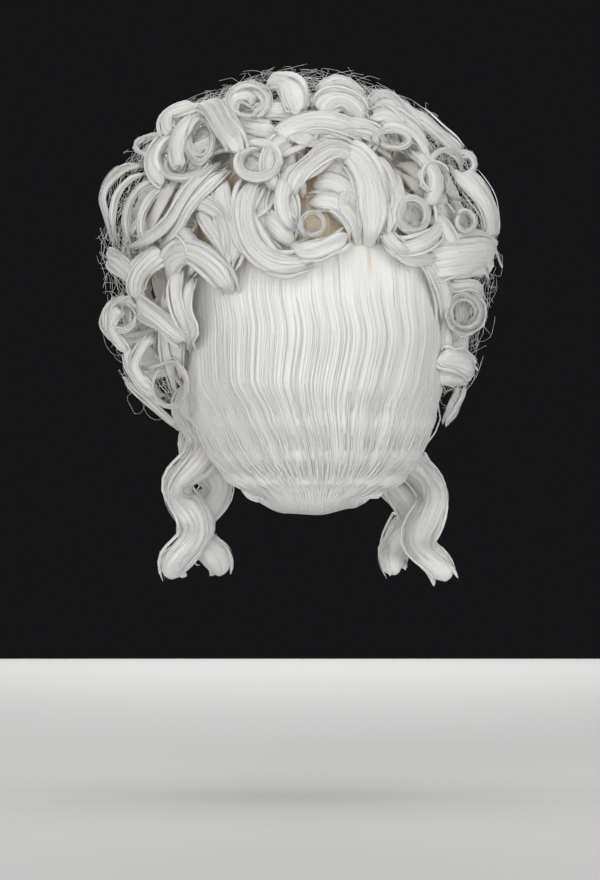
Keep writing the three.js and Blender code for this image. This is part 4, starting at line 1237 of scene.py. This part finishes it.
def ringlet(name, root, out, foot, ahead, length, start, hand, rng):
    """A hanging ringlet: a helix whose middle line falls from the root hair's edge to its
    foot, carrying a round lock that faces the back, and a narrower lock beside it each way."""
    edge = roots.point(direction(np.array(float(root)), edge_polar(np.array(float(root)))))
    top = HEAD_CENTRE * (1 - out) + edge * out + np.array([0, 0, RINGLET_TOP_RISE])
    bottom = np.array([
        HEAD_HALF_WIDTH * foot, -HEAD_FRONT * ahead, top[2] - RINGLET_LENGTH * length,
    ])
    steps = 140
    s = np.linspace(0, 1, steps)
    middle = top + (bottom - top) * s[:, None]
    down = unit(bottom - top)
    first = unit(np.cross(down, [0, 1.0, 0]))
    second = np.cross(down, first)
    turns = np.linalg.norm(bottom - top) / RINGLET_PITCH * s
    coil = RINGLET_COIL * eased(turns / RINGLET_OPENS_IN) * (1 - 0.25 * s)
    angle = math.radians(start) + hand * 2 * math.pi * turns
    radial = first * np.cos(angle)[:, None] + second * np.sin(angle)[:, None]
    line = middle + radial * coil[:, None]
    along = unit(np.gradient(line, axis=0))
    wide = unit(np.cross(along, np.array([0.25 * hand, 1.0, 0])))
    across = np.cross(along, wide)
    skin = Skin()
    lock(skin, rng, line, wide, RINGLET_WIDTH, half_thick=RINGLET_THICKNESS * 0.5, wisps=4,
         loose=36, ragged=0.08, tip=0.75, closes=0.1, root=0.8, steps=84, sides=28, relief=0.0008,
         cycles=2.5, rates=(3.3, 5.9, 9.7), twist=0.3, strand_steps=32)
    for side in (-1, 1):
        weave = np.sin(2 * math.pi * turns * 1.3 + side + rng.uniform(0, 1.5))[:, None]
        beside = line + wide * side * RINGLET_WIDTH * (0.36 + 0.14 * weave) + across * 0.003 * weave
        lock(skin, rng, beside, wide, RINGLET_WIDTH * 0.34, half_thick=RINGLET_THICKNESS * 0.24, wisps=2,
             loose=6, ragged=0.1, tip=0.5, closes=0.12, root=0.8, steps=60, sides=10, relief=0.0005,
             cycles=2.5, rates=(2.3, 3.9), twist=0.3, strand_steps=32)
    skin.build(name + "_locks", RINGLET_HAIR, replaced=(name,))


def ringlets():
    for index, row in enumerate(RINGLETS):
        ringlet(*row, np.random.default_rng(SEED + 600 + index))


def frizz():
    """Fine curly strands that stand off the curls and bridge their gaps, with many more at the
    outline: each starts among the curls and drifts outward while it loops."""
    rng = np.random.default_rng(SEED + 700)
    d = spread_directions(FRIZZ_STRANDS, 0.06)
    rim = spread_directions(OUTLINE_STRANDS, 0.03)
    rim = rim[np.abs(roots.normal(rim)[:, 1]) < 0.36]
    d = np.concatenate([d, rim])
    d = d[rng.permutation(len(d))]
    count, steps = len(d), 12
    s = np.linspace(0, 1, steps)
    normal = roots.normal(d)
    start = rng.choice((0.014, 0.026, 0.034), count)[:, None] * rng.uniform(0.8, 1.15, (count, 1))
    base = roots.point(d) + normal * start
    first = unit(np.cross(normal, rng.normal(0, 1, (count, 3))))
    second = unit(np.cross(normal, first) + normal * rng.uniform(-1, 1, count)[:, None])
    reach = rng.uniform(0.005, 0.013, count)[:, None]
    angle = rng.uniform(0, 2 * math.pi, count)[:, None] + rng.uniform(1.5, 5.5, count)[:, None] * s
    rise = rng.uniform(0.0, 0.010, count)[:, None] * s
    lines = (
        base[:, None] + normal[:, None] * rise[..., None]
        + first[:, None] * (reach * np.cos(angle))[..., None]
        + second[:, None] * (reach * np.sin(angle))[..., None]
        + first[:, None] * (rng.uniform(-0.02, 0.02, count)[:, None] * s)[..., None]
    )
    limit = FRIZZ_REACH - 0.024 * eased(3 * (0.05 - normal[:, 1:2])) - 0.005 * eased(normal[:, 1:2])
    height = np.minimum(roots.height(lines), limit * rng.uniform(0.8, 1.0, (count, 1)))
    lines = roots.at_height(lines, height)
    size = np.full((count, steps), FRIZZ_RADIUS)
    size[:, -1] *= 0.3
    skin = Skin()
    tubes(skin, lines, np.broadcast_to(normal[:, None], lines.shape), size, size, 3, rng)
    skin.build("loose_strands", FINE_STRANDS)


def studio():
    """A plain pale floor, a dark world and soft lights."""
    world = bpy.data.worlds.new("studio")
    bpy.context.scene.world = world
    world.use_nodes = True
    feed(world.node_tree.nodes["Background"], {"Color": (0.008, 0.0082, 0.009, 1), "Strength": 1.0})
    mesh = bpy.data.meshes.new("floor")
    reach = 2.2
    mesh.from_pydata(
        [(x * reach, y * reach, FLOOR_Z) for x, y in ((-1, -1), (1, -1), (1, 1), (-1, 1))],
        [], [(0, 1, 2, 3)],
    )
    floor = bpy.data.objects.new("floor", mesh)
    bpy.context.scene.collection.objects.link(floor)
    pale = bpy.data.materials.new("floor_pale")
    pale.use_nodes = True
    feed(pale.node_tree.nodes["Principled BSDF"], {"Base Color": (0.70, 0.70, 0.69, 1), "Roughness": 0.8})
    mesh.materials.append(pale)
    for name, place, size, power in (
        ("key", (0.4, 2.4, 1.4), 1.9, 25),
        ("left", (1.9, 1.2, 0.2), 1.6, 14),
        ("right", (-1.9, 1.2, 0.3), 1.6, 18),
        ("top", (0.0, -0.2, 1.7), 1.5, 16),
        ("fill", (0.2, 3.0, -0.9), 2.4, 74),
        ("front", (0.0, -2.2, 0.6), 1.6, 22),
    ):
        light = bpy.data.lights.new(name, "AREA")
        light.size = size
        light.energy = power
        lamp = bpy.data.objects.new(name, light)
        bpy.context.scene.collection.objects.link(lamp)
        lamp.location = place
        aim = np.array([0, 0, -0.08]) - np.array(place)
        lamp.rotation_euler = look_along(aim)
    bpy.context.scene.view_settings.view_transform = "Standard"


def look_along(aim):
    """The turn of a camera or lamp that looks along a direction."""
    x, y, z = (float(value) for value in aim)
    return (math.atan2(math.hypot(x, y), -z), 0.0, math.atan2(-x, y))


def camera():
    """The camera at the photo's angle."""
    lens = bpy.data.cameras.new("camera")
    lens.lens = CAMERA_LENS
    lens.sensor_width = 36
    view = bpy.data.objects.new("camera", lens)
    bpy.context.scene.collection.objects.link(view)
    view.location = (CAMERA_CENTRE[0], CAMERA_DISTANCE, CAMERA_CENTRE[2])
    view.rotation_euler = look_along(np.array(CAMERA_CENTRE) - np.array(view.location))
    bpy.context.scene.camera = view


camera()
back_curls()
front_rolls()
root_hair()
bed_of_locks()
back_fall()
nape_roll()
ringlets()
frizz()
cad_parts["cap"].data.materials.clear()
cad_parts["cap"].data.materials.append(CAP_NET)
studio()
